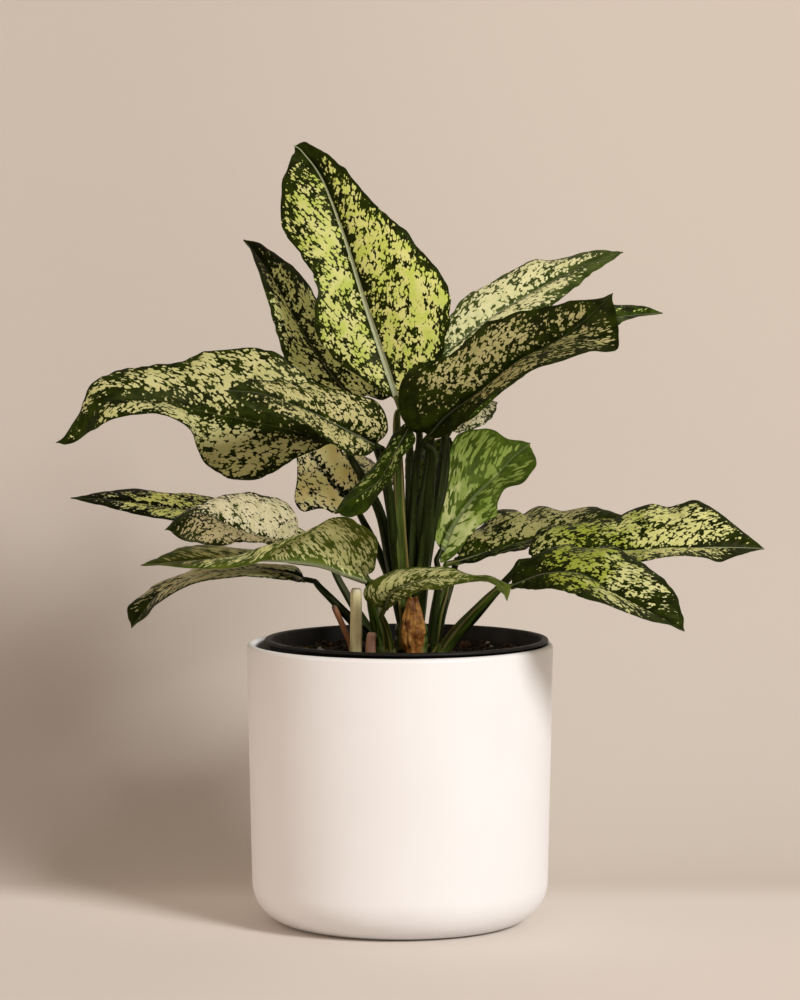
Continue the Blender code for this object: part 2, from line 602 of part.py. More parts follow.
def add_nursery_pot(look, group, parent):
    """The black pot: tapered wall, flat lip over the white rim and drain holes."""
    floor = NURSERY_BASE + NURSERY_WALL
    profile = [(0, floor), (NURSERY_BASE_RADIUS - NURSERY_WALL, floor),
               (NURSERY_TOP_RADIUS - NURSERY_WALL, NURSERY_TOP), (NURSERY_LIP_RADIUS, NURSERY_TOP),
               (NURSERY_LIP_RADIUS, NURSERY_LIP_BOTTOM), (NURSERY_TOP_RADIUS, NURSERY_LIP_BOTTOM),
               (NURSERY_BASE_RADIUS, NURSERY_BASE + 2), (NURSERY_BASE_RADIUS - 2, NURSERY_BASE),
               (0, NURSERY_BASE)]
    origin = (NURSERY_OFFSET, 0, NURSERY_BASE)
    pot = turned("nursery_pot", profile, NURSERY_STEPS, origin, look, group, parent)
    drains = collection("drain_cutters")
    for hole in range(DRAIN_HOLES):
        turn = 2 * math.pi * (hole + 0.5) / DRAIN_HOLES
        centre = (NURSERY_OFFSET + DRAIN_CIRCLE * math.cos(turn), DRAIN_CIRCLE * math.sin(turn))
        cutter(f"drain_{hole + 1}", centre, DRAIN_RADIUS, DRAIN_SIDES,
               NURSERY_BASE - NURSERY_WALL, floor + NURSERY_WALL, drains)
    combine(pot, drains, "DIFFERENCE")
    return pot


def soil_rise(x, y):
    """How far the uneven soil stands above its mean height."""
    return SOIL_BUMP * (0.5 * math.sin(0.13 * x + 1.1) * math.cos(0.11 * y - 0.4)
                        + 0.35 * math.sin(0.23 * y + 0.07 * x)
                        + 0.25 * math.cos(0.31 * x - 0.19 * y))


def add_soil(look, group, parent):
    """The filling of the nursery pot: a tapered plug with an uneven top and holes for stems."""
    clear = NURSERY_WALL + GAP
    slope = (NURSERY_TOP_RADIUS - NURSERY_BASE_RADIUS) / (NURSERY_LIP_BOTTOM - NURSERY_BASE - 2)
    base = NURSERY_BASE + clear
    top_radius = NURSERY_TOP_RADIUS - clear - slope * (NURSERY_LIP_BOTTOM - SOIL_TOP) - GAP
    base_radius = NURSERY_BASE_RADIUS - clear - GAP
    profile = [(top_radius * ring / SOIL_RINGS, SOIL_TOP) for ring in range(SOIL_RINGS + 1)]
    profile += [(base_radius, base), (0, base)]
    origin = (NURSERY_OFFSET, 0, SOIL_TOP)
    soil = turned("soil", profile, SOIL_STEPS, origin, look, group, parent)
    apply_modifiers(soil)
    for vertex in soil.data.vertices:
        if abs(vertex.co.z) < WELD:
            x, y = vertex.co.x / MM, vertex.co.y / MM
            vertex.co.z = soil_rise(x + NURSERY_OFFSET, y) * MM
    holes = collection("stem_cutters")
    for name, shoot in SHOOTS.items():
        cutter("hole_" + name, shoot["foot"], shoot["radius"] + HOLE_GAP, HOLE_SIDES,
               ROOT_END - GAP, HOLE_TOP, holes)
    for name, (route, foot, head) in STUBS.items():
        cutter("hole_" + name, route[0][:2], foot + HOLE_GAP, HOLE_SIDES, ROOT_END - GAP,
               HOLE_TOP, holes)
    sheath_hole = SHEATH_FOOT_RADIUS + HOLE_GAP / SHEATH_DEPTH_SHARE
    cutter("hole_dry_sheath", SHEATH_CENTRE, sheath_hole, HOLE_SIDES, ROOT_END - GAP, HOLE_TOP,
           holes, SHEATH_DEPTH_SHARE)
    combine(soil, holes, "DIFFERENCE")
    return soil


def add_sheath(look, group, parent):
    """The dry papery sheath that still clasps the foot of the main shoot."""
    origin = (*SHEATH_CENTRE, ROOT_END)
    sheath = turned("dry_sheath", SHEATH_PROFILE, SHEATH_STEPS, origin, look, group, parent)
    apply_modifiers(sheath)
    for vertex in sheath.data.vertices:
        vertex.co.y *= SHEATH_DEPTH_SHARE
    return sheath


def add_stub(name, look, group, parent):
    """A cut stalk that stands in the soil."""
    route, foot, head = STUBS[name]
    path = curve_through(route, np.linspace(0, 1, STUB_POINTS))
    return rod(name, path, np.linspace(foot, head, STUB_POINTS), STUB_SIDES, look, group, parent)


def main():
    """Builds every piece of the potted plant."""
    for old in list(bpy.data.objects):
        bpy.data.objects.remove(old)
    group = collection("potted_plant")
    plant = bpy.data.objects.new("potted_plant", None)
    group.objects.link(plant)

    white = material("white_ceramic", (0.86, 0.84, 0.81), 0.45)
    black = material("black_plastic", (0.018, 0.018, 0.02), 0.5)
    earth = material("potting_soil", (0.035, 0.024, 0.017), 0.95)
    green = material("green_stalk", (0.10, 0.20, 0.04), 0.4)
    lime = material("young_leaf", (0.45, 0.55, 0.16), 0.4)
    cream = material("mature_leaf", (0.36, 0.40, 0.22), 0.4)
    papery = material("dry_sheath", (0.32, 0.15, 0.06), 0.75)
    cut_pale = material("cut_stalk_pale", (0.62, 0.60, 0.36), 0.55)
    cut_brown = material("cut_stalk_brown", (0.30, 0.13, 0.06), 0.7)
    cut_pink = material("cut_nub_pink", (0.50, 0.28, 0.22), 0.6)

    add_planter(white, group, plant)
    add_nursery_pot(black, group, plant)
    add_soil(earth, group, plant)
    for name in SHOOTS:
        add_shoot(name, green, group, plant)
    for name in BLADES:
        add_blade(name, lime if name == "leaf_top" else cream, group, plant)
    add_sheath(papery, group, plant)
    add_stub("cut_stub_pale", cut_pale, group, plant)
    add_stub("cut_stub_brown", cut_brown, group, plant)
    add_stub("cut_nub_pink", cut_pink, group, plant)


main()
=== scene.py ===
"""The looks of a potted Chinese evergreen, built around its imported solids.

Sizes and places are in millimetres, and become metres where an object is made. The
origin is the centre of the planter's underside, +Z is up and -Y is the front.
"""
import math

import bpy
import numpy as np
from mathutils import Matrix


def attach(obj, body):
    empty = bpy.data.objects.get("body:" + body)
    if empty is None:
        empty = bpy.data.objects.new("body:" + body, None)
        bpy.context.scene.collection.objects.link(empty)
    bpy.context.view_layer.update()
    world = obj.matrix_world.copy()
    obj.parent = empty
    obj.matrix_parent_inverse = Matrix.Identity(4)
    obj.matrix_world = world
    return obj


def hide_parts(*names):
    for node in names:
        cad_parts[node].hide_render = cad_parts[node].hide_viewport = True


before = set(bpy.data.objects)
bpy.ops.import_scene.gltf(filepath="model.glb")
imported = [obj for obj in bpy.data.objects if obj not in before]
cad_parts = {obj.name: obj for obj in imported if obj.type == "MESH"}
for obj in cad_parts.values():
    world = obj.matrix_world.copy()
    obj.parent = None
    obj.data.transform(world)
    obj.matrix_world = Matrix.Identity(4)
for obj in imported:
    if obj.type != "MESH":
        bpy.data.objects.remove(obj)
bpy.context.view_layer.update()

MM = 0.001

# The photograph's view: the camera's place in metres, how far it looks down, and its
# focal length in pixels of the 800 x 1000 frame.
CAMERA_PLACE = (0.0, -2.5, 0.4451)
CAMERA_DOWN = 0.0729
FOCAL_PIXELS = 4052.0
FRAME_HEIGHT = 1000.0
SENSOR = 36.0

# Light from the right front, as angles in degrees, with warm light from all round.
KEY_TURN = 42.0
KEY_RISE = 30.0
KEY_WIDTH = 17.0
KEY_POWER = 2.9
KEY_COLOUR = (1.0, 0.99, 0.96)
ROOM_COLOUR = (1.0, 0.82, 0.68)
ROOM_POWER = 0.18
ROOM_FRONT = 0.60
ROOM_LEFT = 1.58

# The stage: a floor that sweeps up into a wall. The wall's paper is darker where it
# faces the light more, so that floor, sweep and wall look alike.
WALL_DISTANCE = 385.0
SWEEP_RADIUS = 250.0
STAGE_REACH = 24000.0
WALL_HEIGHT = 2600.0
BEHIND_DROP = 1.0
FLOOR_COLOUR = (0.75, 0.693, 0.642)
WALL_COLOUR = (0.572, 0.518, 0.468)
FLOOR_BEHIND_COLOUR = (0.655, 0.594, 0.537, 1.0)
PAPER_MOTTLE = (0.4, 0.36, 0.32)
# Painted shade: towards the left, the paper's colour is multiplied by PAINTED_LEFT_SHADE, which makes
# that side darker.
PAINTED_LEFT_SHADE = (0.89, 0.89, 0.89)
NO_PAINTED_SHADE = (1.0, 1.0, 1.0)
KEY_ON_FLOOR = math.sin(math.radians(KEY_RISE))
KEY_ON_WALL = math.cos(math.radians(KEY_RISE)) * math.cos(math.radians(KEY_TURN))
ROOM_ON_STAGE = 1.2

# Pots and soil, as the solids have them.
PLANTER_RADIUS = 95.0
PLANTER_HEIGHT = 174.0
PLANTER_FOOT_RADIUS = 92.0
PLANTER_FOOT_CURVE = 26.0
PLANTER_WALL = 5.0
PLANTER_FLOOR = 8.0
NURSERY_OFFSET = 4.0
NURSERY_LIP_RADIUS = 88.0
NURSERY_TOP_RADIUS = 85.0
NURSERY_BASE_RADIUS = 64.0
NURSERY_WALL = 1.3
NURSERY_LIP_HEIGHT = 2.4
NURSERY_BASE = PLANTER_FLOOR + 0.3
NURSERY_LIP_BOTTOM = PLANTER_HEIGHT + 0.4
NURSERY_TOP = NURSERY_LIP_BOTTOM + NURSERY_LIP_HEIGHT
SOIL_TOP = 166.0
SOIL_BUMP = 1.6
SOIL_GAP = 0.3
SOIL_RINGS = 90
CRUMBS = 900
CRUMB_ROWS = 6
CRUMB_SIDES = 8
ROOT_END = SOIL_TOP - 25.0
TURNED_STEPS = 192

# Fine blades: rows from base to tip, and columns from the midrib to a margin as
# shares of the way. The margins are only sure between the first and last MARGIN_INSET
# of the length.
BLADE_ROWS = 130
BLADE_OUTS = (0.0, 0.012, 0.028, 0.05, 0.08, 0.12, 0.17, 0.23, 0.3, 0.37, 0.44, 0.51, 0.58, 0.65,
              0.72, 0.79, 0.85, 0.9, 0.94, 0.97, 1.0)
ROW_CROWDING = 0.55
MARGIN_INSET = 0.012
BLADE_CROWN = 0.09
BLADE_BASE_HALF = 1.3
BLADE_TIP_HALF = 0.3
BLADE_SETTLE = 0.04
BLADE_THICKNESS = 0.6
MARGIN_THICKNESS = 0.3

# Side veins: how many millimetres each leans towards the tip for one millimetre
# across, as a relief and as the grain of the blotches, and how much it bends.
VEIN_SPACING = 7.5
VEIN_DEPTH = 0.22
VEIN_BEND = 0.35
RELIEF_LEAN = 0.75
BLOTCH_LEAN = 1.3
BLOTCH_ACROSS = 0.61
BLOTCH_ALONG = 0.79
GROOVE_DEPTH = 0.7
GROOVE_HALF = 1.7
RIGHT_HALF_SHIFT = 31.0

# Stalks, canes and cut stalks.
STALK_TOP_RADIUS = 1.7
STALK_TAPER = 0.6
STALK_GAP = 0.5
STALK_LEAD = 6.0
STALK_ROWS = 60
STALK_SIDES = 24
WING_TURN = 0.75
CANE_ROWS = 70
CANE_SIDES = 32
STUB_ROWS = 50
STUB_SIDES = 32
CANE_RING_SPACING = 7.0

# Each blade is three curves from its base to its tip: the midrib, and the left
# and right margins as seen from above, looking from the base to the tip. The
# margins begin and end with the midrib.
BLADES = {
    "leaf_top": {
        "rib": [(-2, 4, 325), (-13, 9, 358), (-24, 14, 391), (-35, 17, 426), (-48, 16, 460),
                (-60, 11, 477), (-65, 7, 481)],
        "left": [(-17, 2, 333), (-37, 1, 347), (-49, -2, 360), (-53, -4, 378), (-51, -1, 395),
                 (-62, 7, 414), (-72, 9, 430), (-74, 8, 445), (-72, 6, 460), (-68, 6, 472)],
        "right": [(12, 4, 332), (25, 3, 349), (30, 2, 371), (30, 2, 392), (20, 5, 409),
                  (0, 9, 429), (-19, 10, 449), (-34, 11, 467), (-48, 10, 478), (-59, 9, 483)],
    },
    "leaf_top_left": {
        "rib": [(-27, 20, 322), (-44, 28, 341), (-61, 38, 366), (-78, 46, 396), (-90, 48, 414),
                (-98, 48, 423)],
        "left": [(-49, 19, 331), (-68, 19, 341), (-75, 21, 361), (-82, 27, 386), (-89, 35, 405),
                 (-95, 44, 419)],
        "right": [(-20, 25, 326), (-10, 28, 323), (-3, 33, 330), (-11, 40, 346), (-27, 48, 358),
                  (-41, 59, 373), (-53, 63, 387), (-59, 63, 396), (-69, 60, 407), (-87, 54, 419)],
    },
    "leaf_big_left": {
        "rib": [(-37, 0, 299), (-62, -4, 305), (-94, -9, 313), (-120, -14, 318), (-147, -19, 325),
                (-172, -24, 326), (-185, -27, 321), (-195, -30, 306), (-210, -32, 300)],
        "left": [(-46, -7, 296), (-61, -16, 291), (-80, -25, 280), (-98, -32, 277),
                 (-113, -34, 283), (-122, -37, 293), (-127, -37, 308), (-143, -38, 317),
                 (-158, -37, 318), (-177, -37, 314), (-188, -34, 307), (-201, -33, 299)],
        "right": [(-41, 6, 318), (-56, 7, 335), (-71, 6, 350), (-87, 6, 356), (-114, 4, 355),
                  (-136, 0, 349), (-172, -8, 343), (-189, -15, 334), (-196, -23, 318),
                  (-205, -29, 304)],
    },
    "leaf_mid_left": {
        "rib": [(-14, -14, 297), (-30, -38, 307), (-48, -62, 318), (-69, -86, 328),
                (-85, -104, 334), (-103, -122, 336)],
        "left": [(-21, -35, 292), (-33, -56, 296), (-48, -84, 308), (-59, -98, 316),
                 (-74, -109, 321), (-90, -116, 327)],
        "right": [(-7, -19, 308), (-12, -21, 322), (-24, -25, 328), (-43, -37, 334),
                  (-60, -55, 338), (-75, -76, 340), (-89, -100, 340)],
    },
    "leaf_back_right_pale": {
        "rib": [(25, 20, 351), (56, 36, 374), (85, 50, 391), (114, 60, 406), (141, 68, 415)],
        "left": [(29, 36, 372), (43, 52, 388), (66, 68, 401), (83, 76, 410), (96, 78, 410),
                 (114, 75, 415), (127, 70, 416)],
        "right": [(36, 19, 348), (56, 20, 358), (86, 28, 377), (105, 39, 389), (119, 51, 401),
                  (133, 61, 409)],
    },
    "leaf_front_right": {
        "rib": [(17, -24, 303), (29, -33, 317), (50, -44, 333), (72, -54, 351), (94, -63, 363),
                (111, -70, 376), (127, -76, 392)],
        "left": [(3, -28, 310), (-1, -31, 327), (4, -34, 344), (22, -36, 351), (33, -38, 355),
                 (50, -44, 372), (66, -49, 378), (79, -55, 382), (94, -60, 385), (107, -66, 388),
                 (119, -71, 389)],
        "right": [(24, -35, 303), (39, -52, 314), (48, -65, 325), (66, -80, 338), (82, -90, 348),
                  (98, -98, 353), (113, -101, 358), (123, -100, 358), (130, -96, 361),
                  (130, -85, 373)],
    },
    "leaf_back_right_tip": {
        "rib": [(31, 10, 312), (63, 45, 340), (102, 78, 361), (135, 102, 372), (170, 124, 375)],
        "left": [(34, 38, 326), (57, 73, 351), (83, 98, 368), (110, 113, 378), (142, 121, 381),
                 (158, 122, 379)],
        "right": [(43, 6, 312), (69, 23, 333), (97, 46, 349), (127, 77, 362), (141, 93, 369),
                  (154, 110, 373)],
    },
    "leaf_right_drooping": {
        "rib": [(25, 13, 230), (32, 21, 245), (44, 30, 261), (58, 38, 274), (69, 45, 285),
                (82, 50, 295)],
        "left": [(26, 21, 222), (34, 27, 226), (42, 33, 236), (52, 42, 245), (60, 50, 249),
                 (62, 55, 257), (67, 58, 265), (77, 59, 269), (82, 57, 274), (87, 55, 281),
                 (84, 52, 290)],
        "right": [(21, 15, 243), (25, 19, 262), (30, 26, 286), (36, 32, 301), (50, 34, 305),
                  (59, 37, 304), (66, 42, 299), (74, 47, 297)],
    },
    "leaf_right_mid": {
        "rib": [(34, 16, 223), (53, 24, 228), (69, 30, 232), (85, 36, 236), (113, 46, 243),
                (144, 54, 248)],
        "left": [(38, 29, 229), (43, 43, 238), (51, 54, 242), (56, 61, 247), (63, 65, 251),
                 (73, 69, 251), (78, 70, 248), (90, 73, 253), (103, 74, 250), (118, 72, 253),
                 (129, 64, 253)],
        "right": [(44, 12, 222), (56, 12, 227), (68, 14, 231), (83, 22, 234), (100, 31, 236),
                  (119, 41, 241), (133, 49, 246)],
    },
    "leaf_right_big": {
        "rib": [(80, -5, 226), (99, -8, 230), (117, -10, 232), (142, -12, 232), (169, -12, 233),
                (197, -10, 234), (225, -6, 233)],
        "left": [(80, 8, 232), (84, 17, 240), (91, 20, 245), (107, 20, 247), (130, 19, 250),
                 (141, 20, 254), (150, 21, 257), (158, 21, 259), (166, 20, 257), (174, 18, 259),
                 (184, 16, 260), (193, 12, 257), (203, 6, 251), (212, 2, 244), (220, -3, 237)],
        "right": [(89, -19, 222), (107, -33, 223), (128, -43, 226), (152, -48, 229),
                  (166, -46, 231), (177, -41, 231), (187, -37, 230), (196, -32, 227),
                  (209, -20, 230)],
    },
    "leaf_right_front": {
        "rib": [(67, -38, 213), (88, -52, 222), (109, -66, 223), (127, -78, 213), (147, -86, 203),
                (170, -92, 191)],
        "left": [(70, -33, 222), (78, -30, 229), (91, -28, 235), (100, -28, 237), (114, -33, 235),
                 (127, -39, 237), (135, -45, 234), (146, -52, 229), (158, -64, 221),
                 (163, -71, 215), (168, -79, 207), (170, -85, 199)],
        "right": [(76, -54, 212), (93, -79, 215), (111, -99, 211), (125, -108, 207),
                  (145, -109, 200), (160, -99, 195)],
    },
    "leaf_front_small": {
        "rib": [(-10, -36, 198), (-4, -51, 211), (15, -66, 220), (33, -80, 222), (48, -90, 222),
                (59, -97, 220), (64, -100, 210)],
        "left": [(-18, -38, 201), (-22, -41, 208), (-18, -43, 215), (-5, -43, 222), (9, -48, 225),
                 (22, -55, 226), (31, -62, 226), (43, -73, 223), (54, -85, 223), (65, -96, 218)],
        "right": [(-5, -46, 200), (1, -62, 207), (10, -75, 212), (20, -84, 215), (33, -93, 219),
                  (45, -98, 221), (55, -100, 220)],
    },
    "leaf_left_thin": {
        "rib": [(-47, 14, 229), (-87, 16, 241), (-125, 20, 253), (-156, 24, 258), (-181, 26, 261),
                (-206, 28, 262)],
        "left": [(-55, 4, 227), (-80, -6, 235), (-111, -7, 244), (-139, -4, 250), (-155, 2, 252),
                 (-172, 11, 255), (-193, 21, 259)],
        "right": [(-50, 26, 236), (-75, 42, 247), (-101, 50, 256), (-126, 52, 262),
                  (-150, 49, 264), (-171, 43, 266), (-191, 35, 264)],
    },
    "leaf_left_speckled": {
        "rib": [(-59, -16, 233), (-70, -34, 238), (-81, -50, 242), (-99, -70, 251),
                (-115, -86, 261), (-125, -96, 262), (-132, -104, 258), (-139, -110, 253)],
        "left": [(-54, -26, 235), (-62, -45, 239), (-77, -65, 242), (-93, -84, 243),
                 (-110, -104, 244), (-119, -110, 245), (-129, -112, 248)],
        "right": [(-65, -9, 239), (-63, -11, 246), (-64, -14, 253), (-70, -20, 262),
                  (-81, -28, 267), (-97, -41, 270), (-108, -54, 269), (-120, -75, 266),
                  (-131, -95, 261)],
    },
    "leaf_left_under": {
        "rib": [(-21, -20, 215), (-34, -27, 220), (-48, -34, 226), (-64, -42, 229),
                (-82, -52, 231), (-103, -62, 231), (-129, -74, 231), (-155, -86, 230)],
        "left": [(-16, -27, 222), (-14, -37, 233), (-15, -47, 245), (-29, -57, 255),
                 (-41, -63, 257), (-52, -71, 250), (-66, -79, 244), (-73, -86, 240),
                 (-82, -91, 233), (-95, -95, 230), (-110, -96, 229), (-126, -94, 229),
                 (-143, -90, 230)],
        "right": [(-24, -10, 213), (-35, -3, 216), (-50, -3, 221), (-68, -9, 224),
                  (-85, -18, 231), (-101, -28, 235), (-119, -42, 238), (-131, -55, 239),
                  (-143, -72, 234)],
    },
    "leaf_left_low": {
        "rib": [(-58, -2, 214), (-74, -8, 219), (-105, -14, 220), (-132, -20, 215),
                (-150, -24, 204), (-165, -26, 186)],
        "left": [(-62, -14, 213), (-69, -26, 216), (-91, -44, 219), (-115, -51, 217),
                 (-129, -52, 214), (-148, -48, 203), (-155, -37, 194)],
        "right": [(-65, 9, 220), (-81, 19, 220), (-100, 22, 219), (-118, 18, 219),
                  (-128, 14, 218), (-134, 11, 214), (-151, 0, 210), (-157, -10, 206),
                  (-167, -21, 198)],
    },
    "leaf_back_left_grey": {
        "rib": [(-30, 20, 259), (-44, 34, 274), (-57, 46, 290), (-67, 55, 309), (-76, 62, 330)],
        "left": [(-39, 21, 253), (-50, 20, 255), (-61, 21, 254), (-66, 25, 261), (-65, 30, 272),
                 (-65, 39, 285), (-70, 49, 304), (-75, 57, 320)],
        "right": [(-24, 30, 267), (-28, 41, 278), (-35, 50, 289), (-45, 57, 303), (-58, 61, 316),
                  (-69, 63, 325)],
    },
    "leaf_twisted": {
        "rib": [(7, -16, 312), (-3, -30, 295), (-12, -42, 279), (-20, -46, 273), (-31, -52, 266),
                (-39, -55, 259)],
        "left": [(9, -30, 301), (1, -43, 290), (-4, -50, 282), (-10, -56, 274), (-15, -57, 267),
                 (-21, -57, 259), (-30, -57, 256)],
        "right": [(2, -13, 310), (-6, -18, 300), (-15, -26, 288), (-21, -31, 281),
                  (-27, -37, 275), (-33, -45, 268)],
    },
    "leaf_back_lobe": {
        "rib": [(31, 22, 304), (40, 48, 318), (46, 76, 322), (49, 106, 316), (50, 128, 303)],
        "left": [(23, 32, 309), (22, 54, 319), (23, 78, 322), (29, 100, 319), (39, 118, 311)],
        "right": [(40, 34, 303), (48, 48, 305), (56, 66, 308), (61, 80, 313), (62, 96, 318),
                  (58, 114, 312)],
    },
    "leaf_back_centre": {
        "rib": [(13, 24, 288), (19, 44, 294), (24, 60, 282), (26, 70, 260), (27, 75, 243),
                (26, 77, 230)],
        "left": [(6, 35, 288), (3, 54, 281), (6, 66, 263), (14, 73, 246), (21, 76, 235)],
        "right": [(20, 31, 296), (31, 46, 298), (38, 60, 280), (38, 69, 258), (34, 74, 242)],
    },
    "leaf_rear_top": {
        "rib": [(5, 22, 318), (3, 60, 353), (-3, 86, 390), (-10, 104, 425), (-18, 112, 445)],
        "left": [(-6, 44, 325), (-23, 75, 353), (-28, 95, 384), (-27, 107, 412), (-24, 111, 435)],
        "right": [(19, 45, 327), (25, 73, 356), (24, 94, 390), (10, 106, 419), (-8, 111, 438)],
    },
    "leaf_rear_left": {
        "rib": [(-8, 16, 268), (-21, 54, 277), (-34, 98, 283), (-47, 138, 283), (-61, 170, 275)],
        "left": [(-21, 34, 265), (-40, 83, 270), (-58, 124, 276), (-66, 147, 277),
                 (-66, 161, 274)],
        "right": [(-3, 42, 272), (-12, 78, 277), (-22, 106, 283), (-36, 133, 284), (-52, 156, 280)],
    },
    "leaf_rear_right": {
        "rib": [(39, 35, 224), (56, 60, 229), (76, 94, 232), (99, 129, 233), (122, 158, 231)],
        "left": [(34, 50, 228), (40, 74, 234), (56, 102, 237), (82, 132, 238), (106, 149, 236)],
        "right": [(51, 39, 223), (72, 64, 225), (95, 99, 228), (113, 131, 230), (120, 150, 230)],
    },
}

# A shoot is a short cane that stands in the soil, with the stalks of its leaves
# grown into it. Each stalk is listed from just below its blade down to the cane,
# with its thickest radius.
SHOOTS = {
    "shoot_main": {
        "foot": (7, 0),
        "radius": 10.0,
        "top": 192,
        "stalks": {
            "leaf_top": ([(-2, 2, 312), (-1, 0, 281), (0, -3, 250), (2, -4, 213), (5, -4, 180)], 5.0),
            "leaf_front_right": ([(20, -18, 293), (19, -13, 276), (17, -9, 251), (15, -6, 226),
                                  (12, -4, 195), (9, -3, 176)], 4.6),
            "leaf_back_right_pale": ([(23, 15, 333), (19, 12, 299), (16, 8, 274), (12, 5, 250),
                                      (11, 3, 213), (9, 2, 178)], 3.6),
            "leaf_back_right_tip": ([(27, 12, 293), (23, 8, 262), (18, 6, 231), (13, 4, 200),
                                     (10, 3, 174)], 3.2),
            "leaf_big_left": ([(-31, 2, 290), (-22, 3, 274), (-12, 2, 253), (-6, 0, 225),
                               (0, -1, 195), (5, -1, 176)], 4.2),
            "leaf_mid_left": ([(-9, -12, 283), (-6, -9, 263), (-4, -6, 238), (0, -4, 206),
                               (4, -3, 178)], 3.8),
            "leaf_top_left": ([(-21, 18, 309), (-12, 13, 286), (-6, 8, 256), (-1, 4, 219),
                               (4, 1, 182)], 3.6),
            "leaf_back_left_grey": ([(-24, 18, 250), (-15, 13, 233), (-6, 8, 212), (2, 4, 190),
                                     (6, 2, 174)], 3.4),
            "leaf_twisted": ([(12, -8, 300), (9, -5, 275), (7, -4, 244), (6, -3, 207),
                              (7, -2, 180)], 3.6),
            "leaf_rear_top": ([(6, 17, 292), (6, 12, 262), (6, 8, 225), (7, 4, 190)], 3.6),
            "leaf_back_lobe": ([(29, 18, 286), (26, 14, 264), (18, 8, 238), (13, 5, 206),
                                (9, 3, 178)], 3.4),
            "leaf_back_centre": ([(9, 14, 280), (7, 9, 249), (7, 6, 212), (7, 3, 184)], 3.4),
            "leaf_rear_left": ([(-4, 13, 254), (1, 9, 228), (4, 6, 204), (6, 3, 180)], 3.4),
        },
    },
    "shoot_left": {
        "foot": (-12, -4),
        "radius": 6.5,
        "top": 176,
        "stalks": {
            "leaf_left_under": ([(-18, -17, 202), (-15, -11, 186), (-12, -6, 172)], 3.4),
            "leaf_left_speckled": ([(-48, -9, 233), (-37, -1, 230), (-26, 5, 220), (-17, 4, 205),
                                    (-13, 0, 186), (-12, -3, 170)], 3.0),
            "leaf_left_thin": ([(-41, 12, 218), (-32, 9, 201), (-23, 4, 187), (-14, -1, 174),
                                (-12, -3, 166)], 3.0),
            "leaf_left_low": ([(-50, -3, 209), (-40, -4, 199), (-30, -4, 188), (-19, -5, 176),
                               (-12, -4, 168)], 3.4),
        },
    },
    "shoot_right": {
        "foot": (25, -8),
        "radius": 6.5,
        "top": 174,
        "stalks": {
            "leaf_right_front": ([(58, -34, 209), (46, -26, 196), (34, -15, 180), (26, -9, 168)], 4.0),
            "leaf_right_big": ([(70, -6, 218), (58, -8, 205), (46, -9, 191), (33, -8, 177),
                                (26, -8, 168)], 3.6),
        },
    },
    "shoot_right_back": {
        "foot": (21, 13),
        "radius": 6.0,
        "top": 174,
        "stalks": {
            "leaf_right_mid": ([(29, 16, 208), (24, 14, 190), (21, 13, 170)], 3.2),
            "leaf_right_drooping": ([(24, 12, 212), (21, 12, 184), (20, 12, 170)], 2.8),
            "leaf_rear_right": ([(32, 25, 209), (26, 18, 189), (22, 14, 168)], 3.2),
        },
    },
    "shoot_front": {
        "foot": (-6, -20),
        "radius": 3.8,
        "top": 174,
        "stalks": {
            "leaf_front_small": ([(-9, -27, 187), (-7, -22, 178), (-6, -20, 168),
                                  (-6, -20, 160)], 3.2),
        },
    },
}

# Cut stalks left in the soil: path from the soil up, and radius at foot and head.
STUBS = {
    "cut_stub_pale": ([(-27, -14, ROOT_END), (-27, -14, 180), (-27, -14, 209)], 3.9, 3.5),
    "cut_stub_brown": ([(-30, -4, ROOT_END), (-30, -4, 156), (-30, -4, 171), (-34, -7, 182),
                        (-41, -11, 198)], 2.0, 1.8),
    "cut_nub_pink": ([(-18, -18, ROOT_END), (-18, -18, 172), (-17, -18, 182)], 3.6, 3.0),
}

# Dry papery sheath at the foot of the main shoot: a turned form pressed flat from
# the front, listed from its top down as (half-width, height).
SHEATH_CENTRE = (8.0, -16.2)
SHEATH_DEPTH_SHARE = 0.55
SHEATH_PROFILE = [(3.0, 203), (4.8, 196), (6.6, 189), (7.4, 182), (6.4, 175), (4.4, 168),
                  (4.4, ROOT_END)]
SHEATH_ROWS = 110
SHEATH_SIDES = 96

# The colours that blades share, and the halves of a blade.
CREAM = (0.74, 0.69, 0.33)
LIME = (0.80, 0.78, 0.30)
FRESH = (0.36, 0.43, 0.03)
DEEP = (0.007, 0.012, 0.0003)
LEAF = (0.022, 0.035, 0.001)
RIB_COLOUR = (0.54, 0.57, 0.37)
UNDER_COLOUR = (0.13, 0.17, 0.05)
LEFT_HALF = -1.0
RIGHT_HALF = 1.0
PLAIN_MARKS = {"mid": LEAF, "dark": DEEP, "flush": FRESH, "flush_end": 0.0, "cover": 0.58,
               "grain": 1.3, "streak": 1.0, "foot": 0.0, "tip": 0.93, "edge": 3.0, "spine": 1.5,
               "rib": 0.6, "glow": 0.30, "under": 0.40, "near_half": 0.0,
               "near_tint": (0.6, 0.55, 0.45), "wave": 1.0}


def marked(pale=CREAM, tint=(0.86, 0.88, 0.78), **special):
    """How a blade is marked: as the plain marks say, apart from what is special.

    Colours: pale and dark are its two colours, tint is what pale is multiplied by in
    broad patches, mid is what dark turns to in broad patches and beside a blotch, and
    flush is what pale turns to from the base up to the share flush_end of the length.
    Blotches: cover is about the share that is pale, grain is their size and streak
    what they are longer by along the veins. They fade out before the share foot of the
    length and beyond the share tip.
    Bands: edge is the width of the dark margin, spine the half-width of the dark band
    along the midrib, and rib the half-width of the pale midrib at the base.
    Light: glow is the share that comes through the blade, and under the share of plain
    grey green on the underside. near_half is the half that near_tint multiplies, as
    painted shade that darkens that half.
    Shape: wave is the height of the margin's waves in millimetres.
    """
    return {**PLAIN_MARKS, "pale": pale, "tint": tint, **special}
